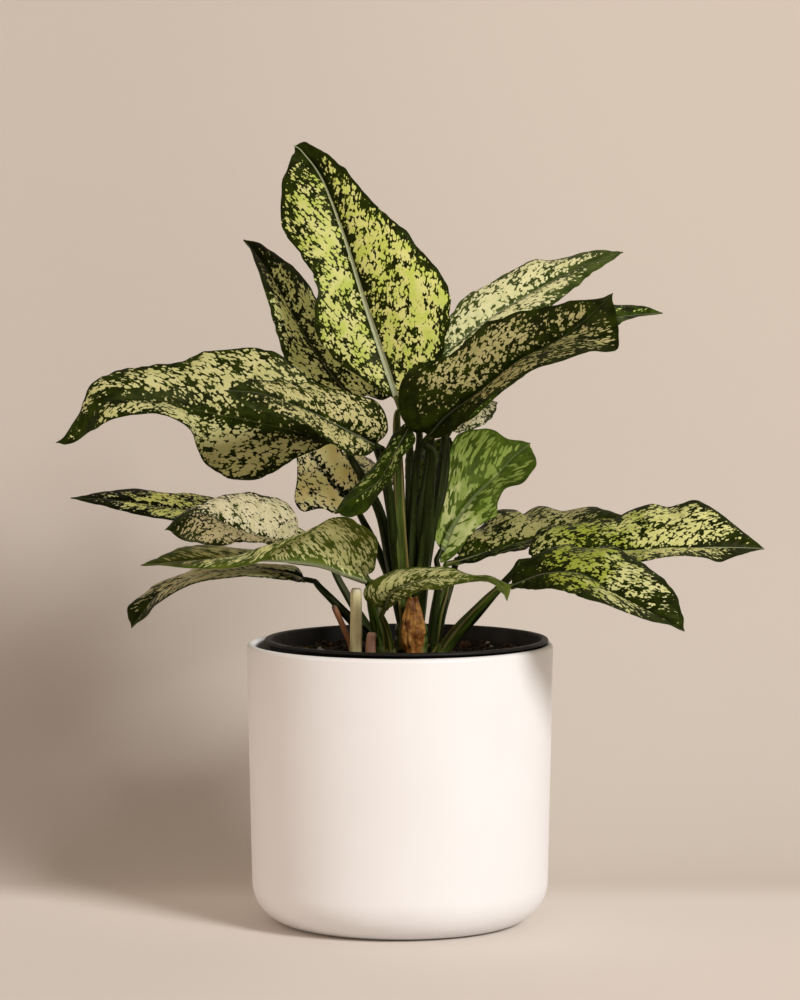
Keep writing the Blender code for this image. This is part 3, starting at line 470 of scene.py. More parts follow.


# In leaf_top, leaf_left_speckled and leaf_right_mid, near_half and near_tint paint shade on one half of
# the blade.
MARKS = {
    "leaf_top": marked(LIME, (0.80, 0.92, 0.50), cover=0.56, edge=3.2, spine=2.4, rib=1.9, tip=0.97,
                       wave=0.6, near_half=LEFT_HALF, near_tint=(0.88, 0.89, 0.93)),
    "leaf_top_left": marked((0.94, 0.94, 0.46), cover=0.58, edge=3.5, rib=0.2, tip=0.86),
    "leaf_big_left": marked((0.64, 0.61, 0.295), cover=0.46, grain=1.5, edge=2.0, spine=4.0,
                            rib=0.0, tip=1.4),
    "leaf_mid_left": marked((0.62, 0.565, 0.275), cover=0.48, edge=2.0, rib=0.3),
    "leaf_back_right_pale": marked((0.90, 0.87, 0.53), mid=(0.085, 0.115, 0.025),
                                   dark=(0.035, 0.055, 0.009), cover=0.70, grain=1.5, edge=4.0,
                                   rib=0.3, tip=0.78),
    "leaf_front_right": marked((0.54, 0.495, 0.235), cover=0.32, edge=3.6, rib=0.2, tip=0.98,
                               foot=0.22, grain=1.4),
    "leaf_back_right_tip": marked((0.62, 0.72, 0.24), mid=(0.05, 0.085, 0.006), cover=0.4, tip=0.95),
    "leaf_right_drooping": marked((0.30, 0.39, 0.085), mid=(0.085, 0.14, 0.01),
                                  dark=(0.04, 0.07, 0.004), flush=(0.60, 0.62, 0.28),
                                  flush_end=0.42, cover=0.52, grain=1.8, streak=1.6, edge=2.0,
                                  rib=0.25, under=0.1),
    "leaf_right_mid": marked((0.46, 0.425, 0.175), cover=0.41, edge=2.5, rib=0.4, under=0.9,
                             near_half=RIGHT_HALF, near_tint=(0.22, 0.30, 0.10)),
    "leaf_right_big": marked((0.82, 0.80, 0.36), flush_end=0.5, cover=0.62, edge=3.5, foot=0.1,
                             tip=0.9, rib=1.0),
    "leaf_right_front": marked((0.80, 0.78, 0.40), flush_end=0.62, cover=0.49, edge=4.0, rib=0.3,
                               foot=0.25, tip=0.9),
    "leaf_front_small": marked((0.66, 0.66, 0.31), mid=(0.10, 0.13, 0.016),
                               dark=(0.045, 0.065, 0.006), cover=0.56, grain=0.8, streak=2.6,
                               rib=0.3, tip=0.86),
    "leaf_left_thin": marked((0.98, 0.97, 0.72), (0.98, 1.0, 0.84), cover=0.56, glow=0.6, under=0.0),
    "leaf_left_speckled": marked((0.74, 0.665, 0.45), cover=0.74, grain=1.0, edge=1.5, spine=2.0,
                                 rib=0.0, near_half=LEFT_HALF),
    "leaf_left_under": marked((0.82, 0.79, 0.40), mid=(0.12, 0.16, 0.014),
                              dark=(0.055, 0.085, 0.007), cover=0.46, grain=0.8, streak=3.0,
                              under=0.15),
    "leaf_left_low": marked((0.62, 0.58, 0.33), cover=0.60, edge=2.0, streak=1.6),
    # Its pale is near white. This is partly the blade's own pale colour and partly painted light, which
    # brightens a blade that sits in the shade of the leaves above.
    "leaf_back_left_grey": marked((1.0, 0.93, 0.80), (1.0, 0.94, 0.88), cover=0.76, edge=1.5,
                                  spine=1.6, rib=0.0, glow=0.60, under=0.15),
    "leaf_twisted": marked((0.40, 0.45, 0.15), mid=(0.03, 0.055, 0.003), dark=(0.012, 0.022, 0.001),
                           cover=0.30, rib=0.3, under=0.2),
    "leaf_back_lobe": marked((0.66, 0.61, 0.41), cover=0.72),
    "leaf_back_centre": marked((0.40, 0.48, 0.14), mid=(0.06, 0.10, 0.006), cover=0.5),
    "leaf_rear_top": marked(cover=0.58, edge=4.0),
    "leaf_rear_left": marked(cover=0.6),
    "leaf_rear_right": marked(cover=0.55),
}


def unit(vectors):
    """Vectors scaled to length one."""
    return vectors / np.maximum(np.linalg.norm(vectors, axis=-1, keepdims=True), 1e-9)


def smooth(values, low=0.0, high=1.0):
    """Values eased from 0 at low to 1 at high."""
    part = np.clip((values - low) / (high - low), 0, 1)
    return part * part * (3 - 2 * part)


def full_turn(steps):
    """Angles of even steps once round."""
    return np.linspace(0, 2 * math.pi, steps, endpoint=False)


def travelled(path):
    """The distance along a path at each of its points."""
    return np.concatenate([[0], np.cumsum(np.linalg.norm(np.diff(path, axis=0), axis=1))])


def patchy(x, y, seed, cells=64):
    """Smooth noise from -1 to 1 with one random value for each unit square."""
    table = np.random.default_rng(seed).uniform(-1, 1, (cells, cells))
    column, row = np.floor(x).astype(int), np.floor(y).astype(int)
    right, up = smooth(x - column), smooth(y - row)
    column, next_column, row, next_row = [number % cells for number in (column, column + 1, row, row + 1)]
    low = table[column, row] * (1 - right) + table[next_column, row] * right
    high = table[column, next_row] * (1 - right) + table[next_column, next_row] * right
    return low * (1 - up) + high * up


def curve_through(points, shares, fine=480):
    """Places at the given shares of the length of a smooth curve through the points."""
    points = np.asarray(points, float)
    ends = np.vstack([2 * points[0] - points[1], points, 2 * points[-1] - points[-2]])
    travel = np.linspace(0, len(points) - 1, fine)
    span = np.minimum(travel.astype(int), len(points) - 2)
    part = (travel - span)[:, None]
    before, start, end, after = ends[span], ends[span + 1], ends[span + 2], ends[span + 3]
    path = 0.5 * (2 * start + (end - before) * part
                  + (2 * before - 5 * start + 4 * end - after) * part**2
                  + (3 * start - before - 3 * end + after) * part**3)
    gone = travelled(path)
    reach = np.asarray(shares) * gone[-1]
    return np.stack([np.interp(reach, gone, path[:, axis]) for axis in range(3)], axis=-1)


class Look:
    """A material, or a world, whose nodes are added and linked in short calls."""

    def __init__(self, name, kind="materials"):
        self.owner = getattr(bpy.data, kind).new(name)
        self.owner.use_nodes = True
        self.tree = self.owner.node_tree
        self.tree.nodes.clear()

    def add(self, kind, inputs=None, **settings):
        """A node with its settings, and its inputs linked or set."""
        node = self.tree.nodes.new(kind)
        for key, value in settings.items():
            setattr(node, key, value)
        for key, value in (inputs or {}).items():
            if isinstance(value, bpy.types.NodeSocket):
                self.tree.links.new(value, node.inputs[key])
            else:
                node.inputs[key].default_value = value
        return node

    def math(self, operation, *values):
        """The result of one Math node."""
        return self.add("ShaderNodeMath", dict(enumerate(values)), operation=operation).outputs[0]

    def total(self, first, *others):
        """The sum of some numbers."""
        for other in others:
            first = self.math("ADD", first, other)
        return first

    def times(self, value, factor):
        """A product of two numbers."""
        return self.math("MULTIPLY", value, factor)

    def over(self, value, size):
        """A number divided by a size."""
        return self.math("DIVIDE", value, size)

    def ease(self, value, low, high, start=0.0, end=1.0):
        """A value eased from start at low to end at high."""
        inputs = {"Value": value, "From Min": low, "From Max": high, "To Min": start, "To Max": end}
        node = self.add("ShaderNodeMapRange", inputs, interpolation_type="SMOOTHSTEP")
        return node.outputs["Result"]

    def mix(self, share, first, second, blend="MIX"):
        """A mix of two colours."""
        first, second = [value if isinstance(value, bpy.types.NodeSocket) else (*value, 1.0)
                         for value in (first, second)]
        node = self.add("ShaderNodeMix", {0: share, 6: first, 7: second}, data_type="RGBA",
                        blend_type=blend)
        return node.outputs[2]

    def vector(self, *values):
        """A vector from three numbers."""
        return self.add("ShaderNodeCombineXYZ", dict(enumerate(values))).outputs[0]

    def parts(self, vector):
        """The three numbers of a vector."""
        return self.add("ShaderNodeSeparateXYZ", {0: vector}).outputs

    def place(self, kind="Object"):
        """The place on the object in metres, or the direction in the world."""
        return self.add("ShaderNodeTexCoord").outputs[kind]

    def attribute(self, name):
        """The three numbers of a vector stored on the mesh."""
        node = self.add("ShaderNodeAttribute", attribute_name=name)
        return self.parts(node.outputs["Vector"])

    def noise(self, vector, scale=1.0, detail=3.0, roughness=0.55, output="Fac"):
        """Noise at a place, about 0.5."""
        inputs = {"Vector": vector, "Scale": scale, "Detail": detail, "Roughness": roughness}
        return self.add("ShaderNodeTexNoise", inputs).outputs[output]

    def cells(self, vector):
        """How far a place is from the middle of its own irregular cell, about 0.5."""
        bend = self.noise(vector, 1.1, 1.0, output="Color")
        bent = self.add("ShaderNodeVectorMath", {0: bend, 1: (0.8, 0.8, 0), 2: vector},
                        operation="MULTIPLY_ADD").outputs[0]
        return self.add("ShaderNodeTexVoronoi", {"Vector": bent, "Scale": 1.0},
                        voronoi_dimensions="2D").outputs["Distance"]

    def bump(self, height, distance, strength=1.0):
        """A normal from a height in the given number of millimetres."""
        inputs = {"Height": height, "Distance": distance * MM, "Strength": strength}
        return self.add("ShaderNodeBump", inputs).outputs[0]

    def finish(self, shader):
        """The material whose surface is the given shader."""
        self.add("ShaderNodeOutputMaterial", {"Surface": shader})
        return self.owner

    def surface(self, colour, roughness, normal=None, through=None, glow=0.0, specular=0.5,
                specular_tint=(1.0, 1.0, 1.0, 1.0)):
        """The finished surface: a Principled shader, with light that comes through it."""
        inputs = {"Base Color": colour, "Roughness": roughness, "Specular IOR Level": specular,
                  "Specular Tint": specular_tint}
        if normal:
            inputs["Normal"] = normal
        shader = self.add("ShaderNodeBsdfPrincipled", inputs).outputs[0]
        if through:
            passed = self.add("ShaderNodeBsdfTranslucent", {"Color": through}).outputs[0]
            shader = self.add("ShaderNodeMixShader", {0: glow, 1: shader, 2: passed}).outputs[0]
        return self.finish(shader)


def add_object(name, data):
    """A new object in the scene, with the given mesh, light or camera."""
    made = bpy.data.objects.new(name, data)
    bpy.context.scene.collection.objects.link(made)
    return made


def finish_piece(node, shape, looks, marks=None, slots=None, crease=50):
    """A smooth closed mesh in metres that replaces one node, with vectors stored on its points."""
    name = "fine_" + node
    points, faces = shape
    mesh = bpy.data.meshes.new(name)
    mesh.from_pydata((np.asarray(points) * MM).tolist(), [], [list(face) for face in faces])
    for key, vectors in (marks or {}).items():
        stored = mesh.attributes.new(key, "FLOAT_VECTOR", "POINT")
        stored.data.foreach_set("vector", np.ascontiguousarray(vectors, dtype=np.float32).ravel())
    for look in looks:
        mesh.materials.append(look)
    if slots is not None:
        mesh.polygons.foreach_set("material_index", np.asarray(slots, dtype=np.int32))
    mesh.shade_smooth()
    mesh.set_sharp_from_angle(angle=math.radians(crease))
    made = add_object(name, mesh)
    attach(made, "root")
    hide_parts(node)


def grid_faces(rows, columns, start=0, wrap=False):
    """Quads between the points of a grid, row by row."""
    row = np.arange(rows - 1)[:, None] * columns
    column = np.arange(columns if wrap else columns - 1)[None, :]
    beside = (column + 1) % columns
    corners = [row + column, row + beside, row + columns + beside, row + columns + column]
    return start + np.stack(corners, axis=-1).reshape(-1, 4)


def tube_faces(rows, sides):
    """Quads round a tube, with a flat face at each end."""
    faces = grid_faces(rows, sides, wrap=True).tolist()
    faces.append(list(range(sides))[::-1])
    faces.append(list(range((rows - 1) * sides, rows * sides)))
    return faces


def joined(shapes):
    """The points, faces and marks of several shapes as those of one mesh."""
    points, faces, marks = [], [], []
    start = 0
    for some_points, some_faces, some_marks in shapes:
        points.append(some_points)
        marks.append(some_marks)
        faces += [[corner + start for corner in face] for face in some_faces]
        start += len(some_points)
    return np.vstack(points), faces, np.vstack(marks)


def blade_half(curves, side, sign, share, rib, gone, seed):
    """One half of a blade: points, distance across from the midrib, and distance to the margin."""
    inside = np.clip(share, MARGIN_INSET, 1 - MARGIN_INSET)
    along = unit(np.gradient(rib, axis=0))
    least = BLADE_BASE_HALF + (BLADE_TIP_HALF - BLADE_BASE_HALF) * share
    settle = (smooth(share / BLADE_SETTLE) * smooth((1 - share) / BLADE_SETTLE))[:, None]
    outs = np.array(BLADE_OUTS)
    margin = [curves["rib"][0], *curves[side], curves["rib"][-1]]
    arm = curve_through(margin, inside) - curve_through(curves["rib"], inside)
    reach = np.linalg.norm(curve_through(margin, share) - rib, axis=1)
    ragged = 1.1 * patchy(gone / 8, 5.5 + sign, seed + 80)
    ragged = ragged + 0.8 * patchy(gone / 3.5, 9.5 + sign, seed + 81)
    reach = np.maximum(reach + ragged * settle[:, 0], least)[:, None]
    square = unit(arm - along * (arm * along).sum(axis=-1, keepdims=True))
    arm = unit(square * (1 - settle) + unit(arm) * settle)
    upward = unit(np.cross(arm, along)) * sign
    crown = BLADE_CROWN * 4 * outs * (1 - outs)
    sheet = arm[:, None] * outs[:, None] + upward[:, None] * crown[:, None]
    points = rib[:, None] + sheet * reach[:, None]
    return points, sign * outs * reach, (1 - outs) * reach


def blade_relief(name, gone, across, to_margin, share, out, half):
    """How far a blade's upper side stands above its plain sheet: veins, groove and waves."""
    seed = list(BLADES).index(name)
    away = np.abs(across)
    vein = (gone - RELIEF_LEAN * away - VEIN_BEND * away * out) / VEIN_SPACING
    fade = smooth(away / 5.0) * smooth(to_margin / 6.0)
    relief = -VEIN_DEPTH * fade * (1 - np.abs(np.sin(math.pi * vein))) * 2
    relief -= GROOVE_DEPTH * np.exp(-(across / GROOVE_HALF) ** 2) * (1 - share) ** 0.5
    relief += 0.5 * patchy(gone / 14 + half, across / 11 + 7, seed) * smooth(away / 8)
    wave = MARKS[name]["wave"] * patchy(gone / 13 + half, 3.5, seed + 40) * out**3
    return relief + wave * smooth(share / 0.12) * smooth((1 - share) / 0.12)


def blade_shape(name):
    """A fine blade's grid of points, the millimetres along, across and to the margin, and its shares."""
    curves = BLADES[name]
    even = np.linspace(0, 1, BLADE_ROWS)
    share = (1 - ROW_CROWDING) * even + ROW_CROWDING * (1 - np.cos(math.pi * even)) / 2
    rib = curve_through(curves["rib"], share)
    gone = travelled(rib)
    left, right = [blade_half(curves, side, sign, share, rib, gone, list(BLADES).index(name))
                   for side, sign in (("left", -1), ("right", 1))]
    surface, across, to_margin = [np.concatenate([one[:, :0:-1], other], axis=1)
                                  for one, other in zip(left, right)]
    outs = np.array(BLADE_OUTS)
    out = np.broadcast_to(np.concatenate([outs[:0:-1], outs]), across.shape)
    half = np.where(across < 0, 0.0, RIGHT_HALF_SHIFT)
    gone, share = [np.broadcast_to(values[:, None], across.shape) for values in (gone, share)]
    relief = blade_relief(name, gone, across, to_margin, share, out, half)
    surface = surface + blade_normals(surface) * relief[:, :, None]
    places = np.stack([gone, across, to_margin], axis=-1)
    return surface, places, np.stack([share, out, half], axis=-1)


def blade_normals(surface):
    """Unit normals of a blade's grid on its upper side."""
    normals = unit(np.cross(np.gradient(surface, axis=1), np.gradient(surface, axis=0)))
    normals[0] = normals[1]
    normals[-1] = normals[-2]
    return normals


def border_points(rows, columns):
    """The numbers of the points round the border of a grid, in order."""
    last = (rows - 1) * columns
    border = [row * columns for row in range(rows)]
    border += [last + column for column in range(1, columns)]
    border += [row * columns + columns - 1 for row in range(rows - 2, -1, -1)]
    border += [column for column in range(columns - 2, 0, -1)]
    return np.array(border)


def make_blade(name):
    """One leaf blade as a thin closed sheet, thicker below its midrib."""
    top, places, shares = blade_shape(name)
    rows, columns = top.shape[:2]
    across, to_margin, share = places[:, :, 1], places[:, :, 2], shares[:, :, 0]
    thick = MARGIN_THICKNESS + (BLADE_THICKNESS - MARGIN_THICKNESS) * smooth(to_margin / 3)
    radius = STALK_TOP_RADIUS * (1 - 0.8 * share)
    thick = thick + 1.1 * radius * np.exp(-(across / (0.7 * radius)) ** 2)
    bottom = top - blade_normals(top) * thick[:, :, None]
    points = np.concatenate([top.reshape(-1, 3), bottom.reshape(-1, 3)])
    under = rows * columns
    upper_faces = grid_faces(rows, columns)
    lower_faces = grid_faces(rows, columns, under)[:, ::-1]
    border = border_points(rows, columns)
    after = np.roll(border, -1)
    rim = np.stack([border, after, after + under, border + under], axis=-1)
    faces = np.concatenate([upper_faces, lower_faces, rim])
    slots = [0] * len(upper_faces) + [1] * (len(lower_faces) + len(rim))
    marks = {"blade_mm": np.tile(places.reshape(-1, 3), (2, 1)),
             "blade_share": np.tile(shares.reshape(-1, 3), (2, 1))}
    looks = [leaf_look(name, False), leaf_look(name, True)]
    finish_piece(name, (points, faces), looks, marks, slots)


class LeafPlace:
    """Where a point lies on its blade, as a look reads it from the mesh."""

    def __init__(self, look, seed):
        self.look = look
        self.gone, self.across, self.to_margin = look.attribute("blade_mm")
        self.share, out, half = look.attribute("blade_share")
        self.away = look.math("ABSOLUTE", self.across)
        bend = look.times(look.times(self.away, out), VEIN_BEND)
        lean = look.total(look.times(self.away, BLOTCH_LEAN), bend)
        self.vein = look.times(look.math("SUBTRACT", self.gone, lean), BLOTCH_ACROSS)
        self.reach = look.math("MULTIPLY_ADD", self.gone, BLOTCH_ALONG,
                               look.times(self.away, BLOTCH_ACROSS))
        self.layer = look.total(half, seed)

    def spot(self, wide, long, lift):
        """A place in noise whose lumps are so wide across the side veins and so long along them."""
        look = self.look
        across_vein = look.total(look.over(self.vein, wide), look.times(self.layer, 7.0))
        return look.vector(across_vein, look.over(self.reach, long), look.total(self.layer, lift))


def blotch_lead(look, place, marks):
    """How far the noise of the blotches stands above its limit. The blade is pale above 0."""
    grain, streak, edge = marks["grain"], marks["streak"], marks["edge"]
    spine, foot, tip = marks["spine"], marks["foot"], marks["tip"]
    drift = look.noise(place.spot(9.0 * grain, 13.0 * grain * streak, 0.0), detail=3.0, roughness=0.6)
    large = look.cells(place.spot(2.4 * grain, 3.7 * grain * streak, 0.0))
    small = look.cells(place.spot(1.2 * grain, 1.8 * grain * streak, 5.0))
    fine = look.noise(place.spot(0.7, 1.1 * streak, 8.0), detail=2.0)
    field = look.math("SUBTRACT", drift, look.times(large, 0.50))
    field = look.math("SUBTRACT", field, look.times(small, 0.46))
    field = look.total(field, look.times(fine, 0.06))
    limit = look.total(0.085 + 0.42 * (0.5 - marks["cover"]),
                       look.ease(place.to_margin, 0.0, edge * 1.2, 0.20, 0.0),
                       look.ease(place.to_margin, 0.0, edge * 3.6, 0.11, 0.0),
                       look.ease(place.away, spine * 0.6, spine * 2.6, 0.24, 0.0),
                       look.ease(place.share, tip - 0.3, tip + 0.1, 0, 0.26))
    if foot:
        limit = look.total(limit, look.ease(place.share, foot - 0.12, foot + 0.12, 0.24, 0.0))
    return look.math("SUBTRACT", field, limit)


def pale_colour(look, place, tone, marks):
    """The blotches' colour in two tones, flushed with another towards the base."""
    tinted = [value * factor for value, factor in zip(marks["pale"], marks["tint"])]
    pale = look.mix(look.ease(tone, 0.35, 0.65), marks["pale"], tinted)
    end = marks["flush_end"]
    if not end:
        return pale
    flushed = look.total(place.share, look.ease(tone, 0.3, 0.7, -0.12, 0.12))
    strong = look.times(look.ease(place.share, 0.08, 0.25),
                        look.ease(flushed, end - 0.2, end + 0.1, 0.9, 0.0))
    return look.mix(strong, pale, marks["flush"])


def leaf_look(name, underside):
    """Blotches stretched along the side veins, with a dark margin and midrib band, and on some blades
    painted shade on one half.
    """
    marks = MARKS[name]
    look = Look(name + ("_under" if underside else "_upper"))
    place = LeafPlace(look, 3.7 * list(BLADES).index(name))
    lead = blotch_lead(look, place, marks)
    tone = look.noise(look.vector(look.over(place.gone, 9.0), look.over(place.across, 9.0),
                                  look.total(place.layer, 5.0)), detail=2.0)
    dark = look.mix(look.ease(tone, 0.35, 0.7), marks["dark"], marks["mid"])
    pale = pale_colour(look, place, tone, marks)
    colour = look.mix(look.ease(lead, -0.12, -0.02), dark, marks["mid"])
    colour = look.mix(look.ease(lead, -0.03, 0.035), colour, pale)
    if marks["rib"]:
        narrow = look.times(look.ease(place.share, 0.0, 1.0, 1.0, 0.15), marks["rib"])
        beyond = look.math("SUBTRACT", place.away, narrow)
        strength = 0.85 * min(1.0, marks["rib"])
        colour = look.mix(look.ease(beyond, -0.25, 0.25, strength, 0.0), colour, RIB_COLOUR)
    # Painted shade: one half of the blade is multiplied by a darker tint.
    if marks["near_half"]:
        beside = look.ease(look.times(place.across, marks["near_half"]), 0.5, 3.0)
        colour = look.mix(beside, colour, marks["near_tint"], "MULTIPLY")
    if underside:
        colour = look.mix(marks["under"], colour, UNDER_COLOUR)
    nerves = look.noise(place.spot(1.6, 6.0, 3.0), detail=1.0)
    through = look.mix(1.0, colour, (1.0, 1.1, 0.45), "MULTIPLY")
    return look.surface(colour, 0.55 if underside else 0.45, look.bump(nerves, 0.12, 0.5), through,
                        marks["glow"], specular=0.13, specular_tint=(1.0, 0.95, 0.5, 1.0))


def rod_frames(path, up):
    """Two unit vectors across a path at each point, carried from its last point."""
    along = unit(np.gradient(path, axis=0))
    side_vectors = np.zeros_like(path)
    up_vectors = np.zeros_like(path)
    for index in range(len(path) - 1, -1, -1):
        up = unit(up - along[index] * np.dot(up, along[index]))
        up_vectors[index] = up
        side_vectors[index] = np.cross(along[index], up)
    return side_vectors, up_vectors


def rod_shape(path, radii, up, sides, shaping=None):
    """Points, faces and marks of a rod. shaping gives a factor from the turn and the share."""
    path = np.asarray(path, float)
    side, up = rod_frames(path, np.asarray(up, float))
    turn = full_turn(sides)
    gone = travelled(path)
    share = gone / gone[-1]
    factor = shaping(turn[None, :], share[:, None]) if shaping else 1.0
    reach = (np.asarray(radii, float)[:, None] * factor)[:, :, None]
    points = path[:, None] + reach * (np.cos(turn)[None, :, None] * up[:, None]
                                      + np.sin(turn)[None, :, None] * side[:, None])
    marks = np.stack(np.broadcast_arrays(gone[:, None], turn[None, :], share[:, None]), axis=-1)
    return points.reshape(-1, 3), tube_faces(len(path), sides), marks.reshape(-1, 3)


def stalk_shape(blade_name, route, thick):
    """One leaf stalk: grooved on its upper side, and winged where it clasps the cane."""
    rib = curve_through(BLADES[blade_name]["rib"], (0, 0.03))
    ahead = unit(rib[1] - rib[0])
    surface = blade_shape(blade_name)[0]
    up = blade_normals(surface)[2, surface.shape[1] // 2]
    head = rib[0] - ahead * STALK_GAP
    points = [head - ahead * STALK_LEAD, *np.asarray(route, float)][::-1]
    share = np.linspace(0, 1, STALK_ROWS)
    path = np.vstack([curve_through(points, share), head - up * 0.6, head + ahead * 2.5 - up * 0.9])
    radii = STALK_TOP_RADIUS + (thick - STALK_TOP_RADIUS) * (1 - share) ** STALK_TAPER
    radii = np.concatenate([radii, [STALK_TOP_RADIUS, STALK_TOP_RADIUS * 0.8]])

    def shaping(turn, share):
        bend = np.minimum(turn, 2 * math.pi - turn)
        groove = 1 - 0.28 * np.exp(-(bend / 0.45) ** 2)
        fade = 1 - smooth(share, 0.3, 0.6)
        return groove * (1 + 0.30 * np.exp(-((bend - WING_TURN) / 0.22) ** 2) * fade)

    return rod_shape(path, radii, up, STALK_SIDES, shaping)


def stalk_look():
    """Fleshy green stalk with fine lengthwise streaks and a paler, drier edge along its groove.
    The cane and first stalk of a shoot are a fresher green. The other stalks are a darker
    green that is partly their own colour and partly painted shade.
    """
    deep, front_green, shaded_back_green = (0.003, 0.006, 0.0003), (0.05, 0.085, 0.01), (0.012, 0.022, 0.002)
    pale_green, foot_green, dry_edge = (0.12, 0.16, 0.03), (0.12, 0.14, 0.04), (0.24, 0.17, 0.06)
    look = Look("fleshy_stalk")
    gone, turn, share = look.attribute("rod_mm")
    number = look.attribute("rod_number")[0]
    streak = look.noise(look.vector(look.over(gone, 22.0), look.times(turn, 2.2), number), detail=3.0)
    blotch = look.noise(look.vector(look.over(gone, 5.0), look.times(turn, 1.5),
                                    look.total(number, 4.0)), detail=2.0)
    # The cane and first stalk get the fresher green. Every later stalk gets the darker green, which is
    # partly painted shade.
    first = look.ease(number, 1.2, 1.8, 1.0, 0.0)
    green = look.mix(first, shaded_back_green, front_green)
    colour = look.mix(look.ease(streak, 0.3, 0.7), deep, green)
    colour = look.mix(look.ease(blotch, 0.55, 0.75, 0.0, 0.15), colour, pale_green)
    bend = look.math("ABSOLUTE", look.math("SUBTRACT", turn, math.pi))
    wing = look.math("ABSOLUTE", look.math("SUBTRACT", bend, math.pi - WING_TURN))
    colour = look.mix(look.ease(wing, 0.0, 0.3, look.times(first, 0.6), 0.0), colour, dry_edge)
    colour = look.mix(look.ease(share, 0.0, 0.2, 0.25, 0.0), colour, foot_green)
    return look.surface(colour, 0.42, look.bump(streak, 0.25, 0.5), specular=0.16,
                        specular_tint=(1.0, 0.95, 0.6, 1.0))


def make_shoot(name, look):
    """A cane with rings where leaves have dropped, and its leaf stalks."""
    shoot = SHOOTS[name]
    radius, top = shoot["radius"], shoot["top"]
    heights = np.linspace(ROOT_END, top, CANE_ROWS)
    narrow = 1 - 0.5 * smooth(heights, top - radius * 0.8, top)
    rings = 1 + 0.035 * np.cos(2 * math.pi * heights / CANE_RING_SPACING)
    path = [(*shoot["foot"], height) for height in heights]
    shapes = [rod_shape(path, radius * narrow * rings, (0, -1, 0), CANE_SIDES)]
    shapes += [stalk_shape(blade_name, *stalk) for blade_name, stalk in shoot["stalks"].items()]
    numbers = [np.full((len(shape[0]), 3), float(number)) for number, shape in enumerate(shapes)]
    points, faces, marks = joined(shapes)
    finish_piece(name, (points, faces), [look],
                 {"rod_mm": marks, "rod_number": np.vstack(numbers)})


def arc(centre, radius, first, last, count):
    """Points of an arc in a profile, angles in degrees."""
    turns = np.radians(np.linspace(first, last, count))
    return [(centre[0] + radius * math.cos(turn), centre[1] + radius * math.sin(turn))
            for turn in turns]


def turned_shape(profile, centre=0.0):
    """A closed profile of (radius, height) turned about +Z, its ends on the axis."""
    profile = np.asarray(profile, float)
    turn = full_turn(TURNED_STEPS)
    inner = profile[1:-1]
    ring = np.stack([np.cos(turn), np.sin(turn)], axis=-1)
    points = np.zeros((len(inner), TURNED_STEPS, 3))
    points[:, :, :2] = inner[:, None, :1] * ring[None]
    points[:, :, 0] += centre
    points[:, :, 2] = inner[:, None, 1]
    points = points.reshape(-1, 3)
    first, last = len(points), len(points) + 1
    points = np.vstack([points, (centre, 0, profile[0, 1]), (centre, 0, profile[-1, 1])])
    faces = grid_faces(len(inner), TURNED_STEPS, wrap=True)[:, ::-1].tolist()
    base = (len(inner) - 1) * TURNED_STEPS
    for corner in range(TURNED_STEPS):
        beside = (corner + 1) % TURNED_STEPS
        faces.append([first, corner, beside])
        faces.append([last, base + beside, base + corner])
    return points, faces


def ceramic_look():
    """White satin ceramic, faintly uneven."""
    look = Look("white_satin_ceramic")
    broad = look.noise(look.place(), 18.0, 3.0)
    grit = look.noise(look.place(), 1500.0, 2.0)
    colour = look.mix(look.ease(broad, 0.3, 0.7), (0.76, 0.752, 0.765), (0.74, 0.73, 0.74))
    return look.surface(colour, look.ease(broad, 0.3, 0.7, 0.42, 0.5), look.bump(grit, 0.05, 0.35),
                        specular=0.4)


def make_planter():
    """The white pot, with a softly rounded rim and foot."""
    curve = PLANTER_FOOT_CURVE
    inner_curve = curve - PLANTER_WALL - 3
    inner_centre = PLANTER_FOOT_RADIUS - PLANTER_WALL - inner_curve
    rim = PLANTER_WALL / 2
    profile = [(0, PLANTER_FLOOR), (30, PLANTER_FLOOR)]
    profile += arc((inner_centre, PLANTER_FLOOR + inner_curve), inner_curve, -90, 0, 12)
    profile += arc((PLANTER_RADIUS - rim, PLANTER_HEIGHT - rim), rim, 180, 0, 17)
    profile += arc((PLANTER_FOOT_RADIUS - curve, curve), curve, 0, -90, 24)
    profile += [(30, 0), (0, 0)]
    finish_piece("planter", turned_shape(profile), [ceramic_look()])


def plastic_look():
    """Matt black plastic with a little dust."""
    look = Look("black_nursery_plastic")
    dust = look.noise(look.place(), 60.0, 4.0, 0.65)
    grit = look.noise(look.place(), 900.0, 2.0)
    colour = look.mix(look.ease(dust, 0.45, 0.75), (0.005, 0.0045, 0.004), (0.014, 0.011, 0.009))
    return look.surface(colour, look.ease(dust, 0.4, 0.7, 0.5, 0.7), look.bump(grit, 0.05, 0.5),
                        specular=0.2)


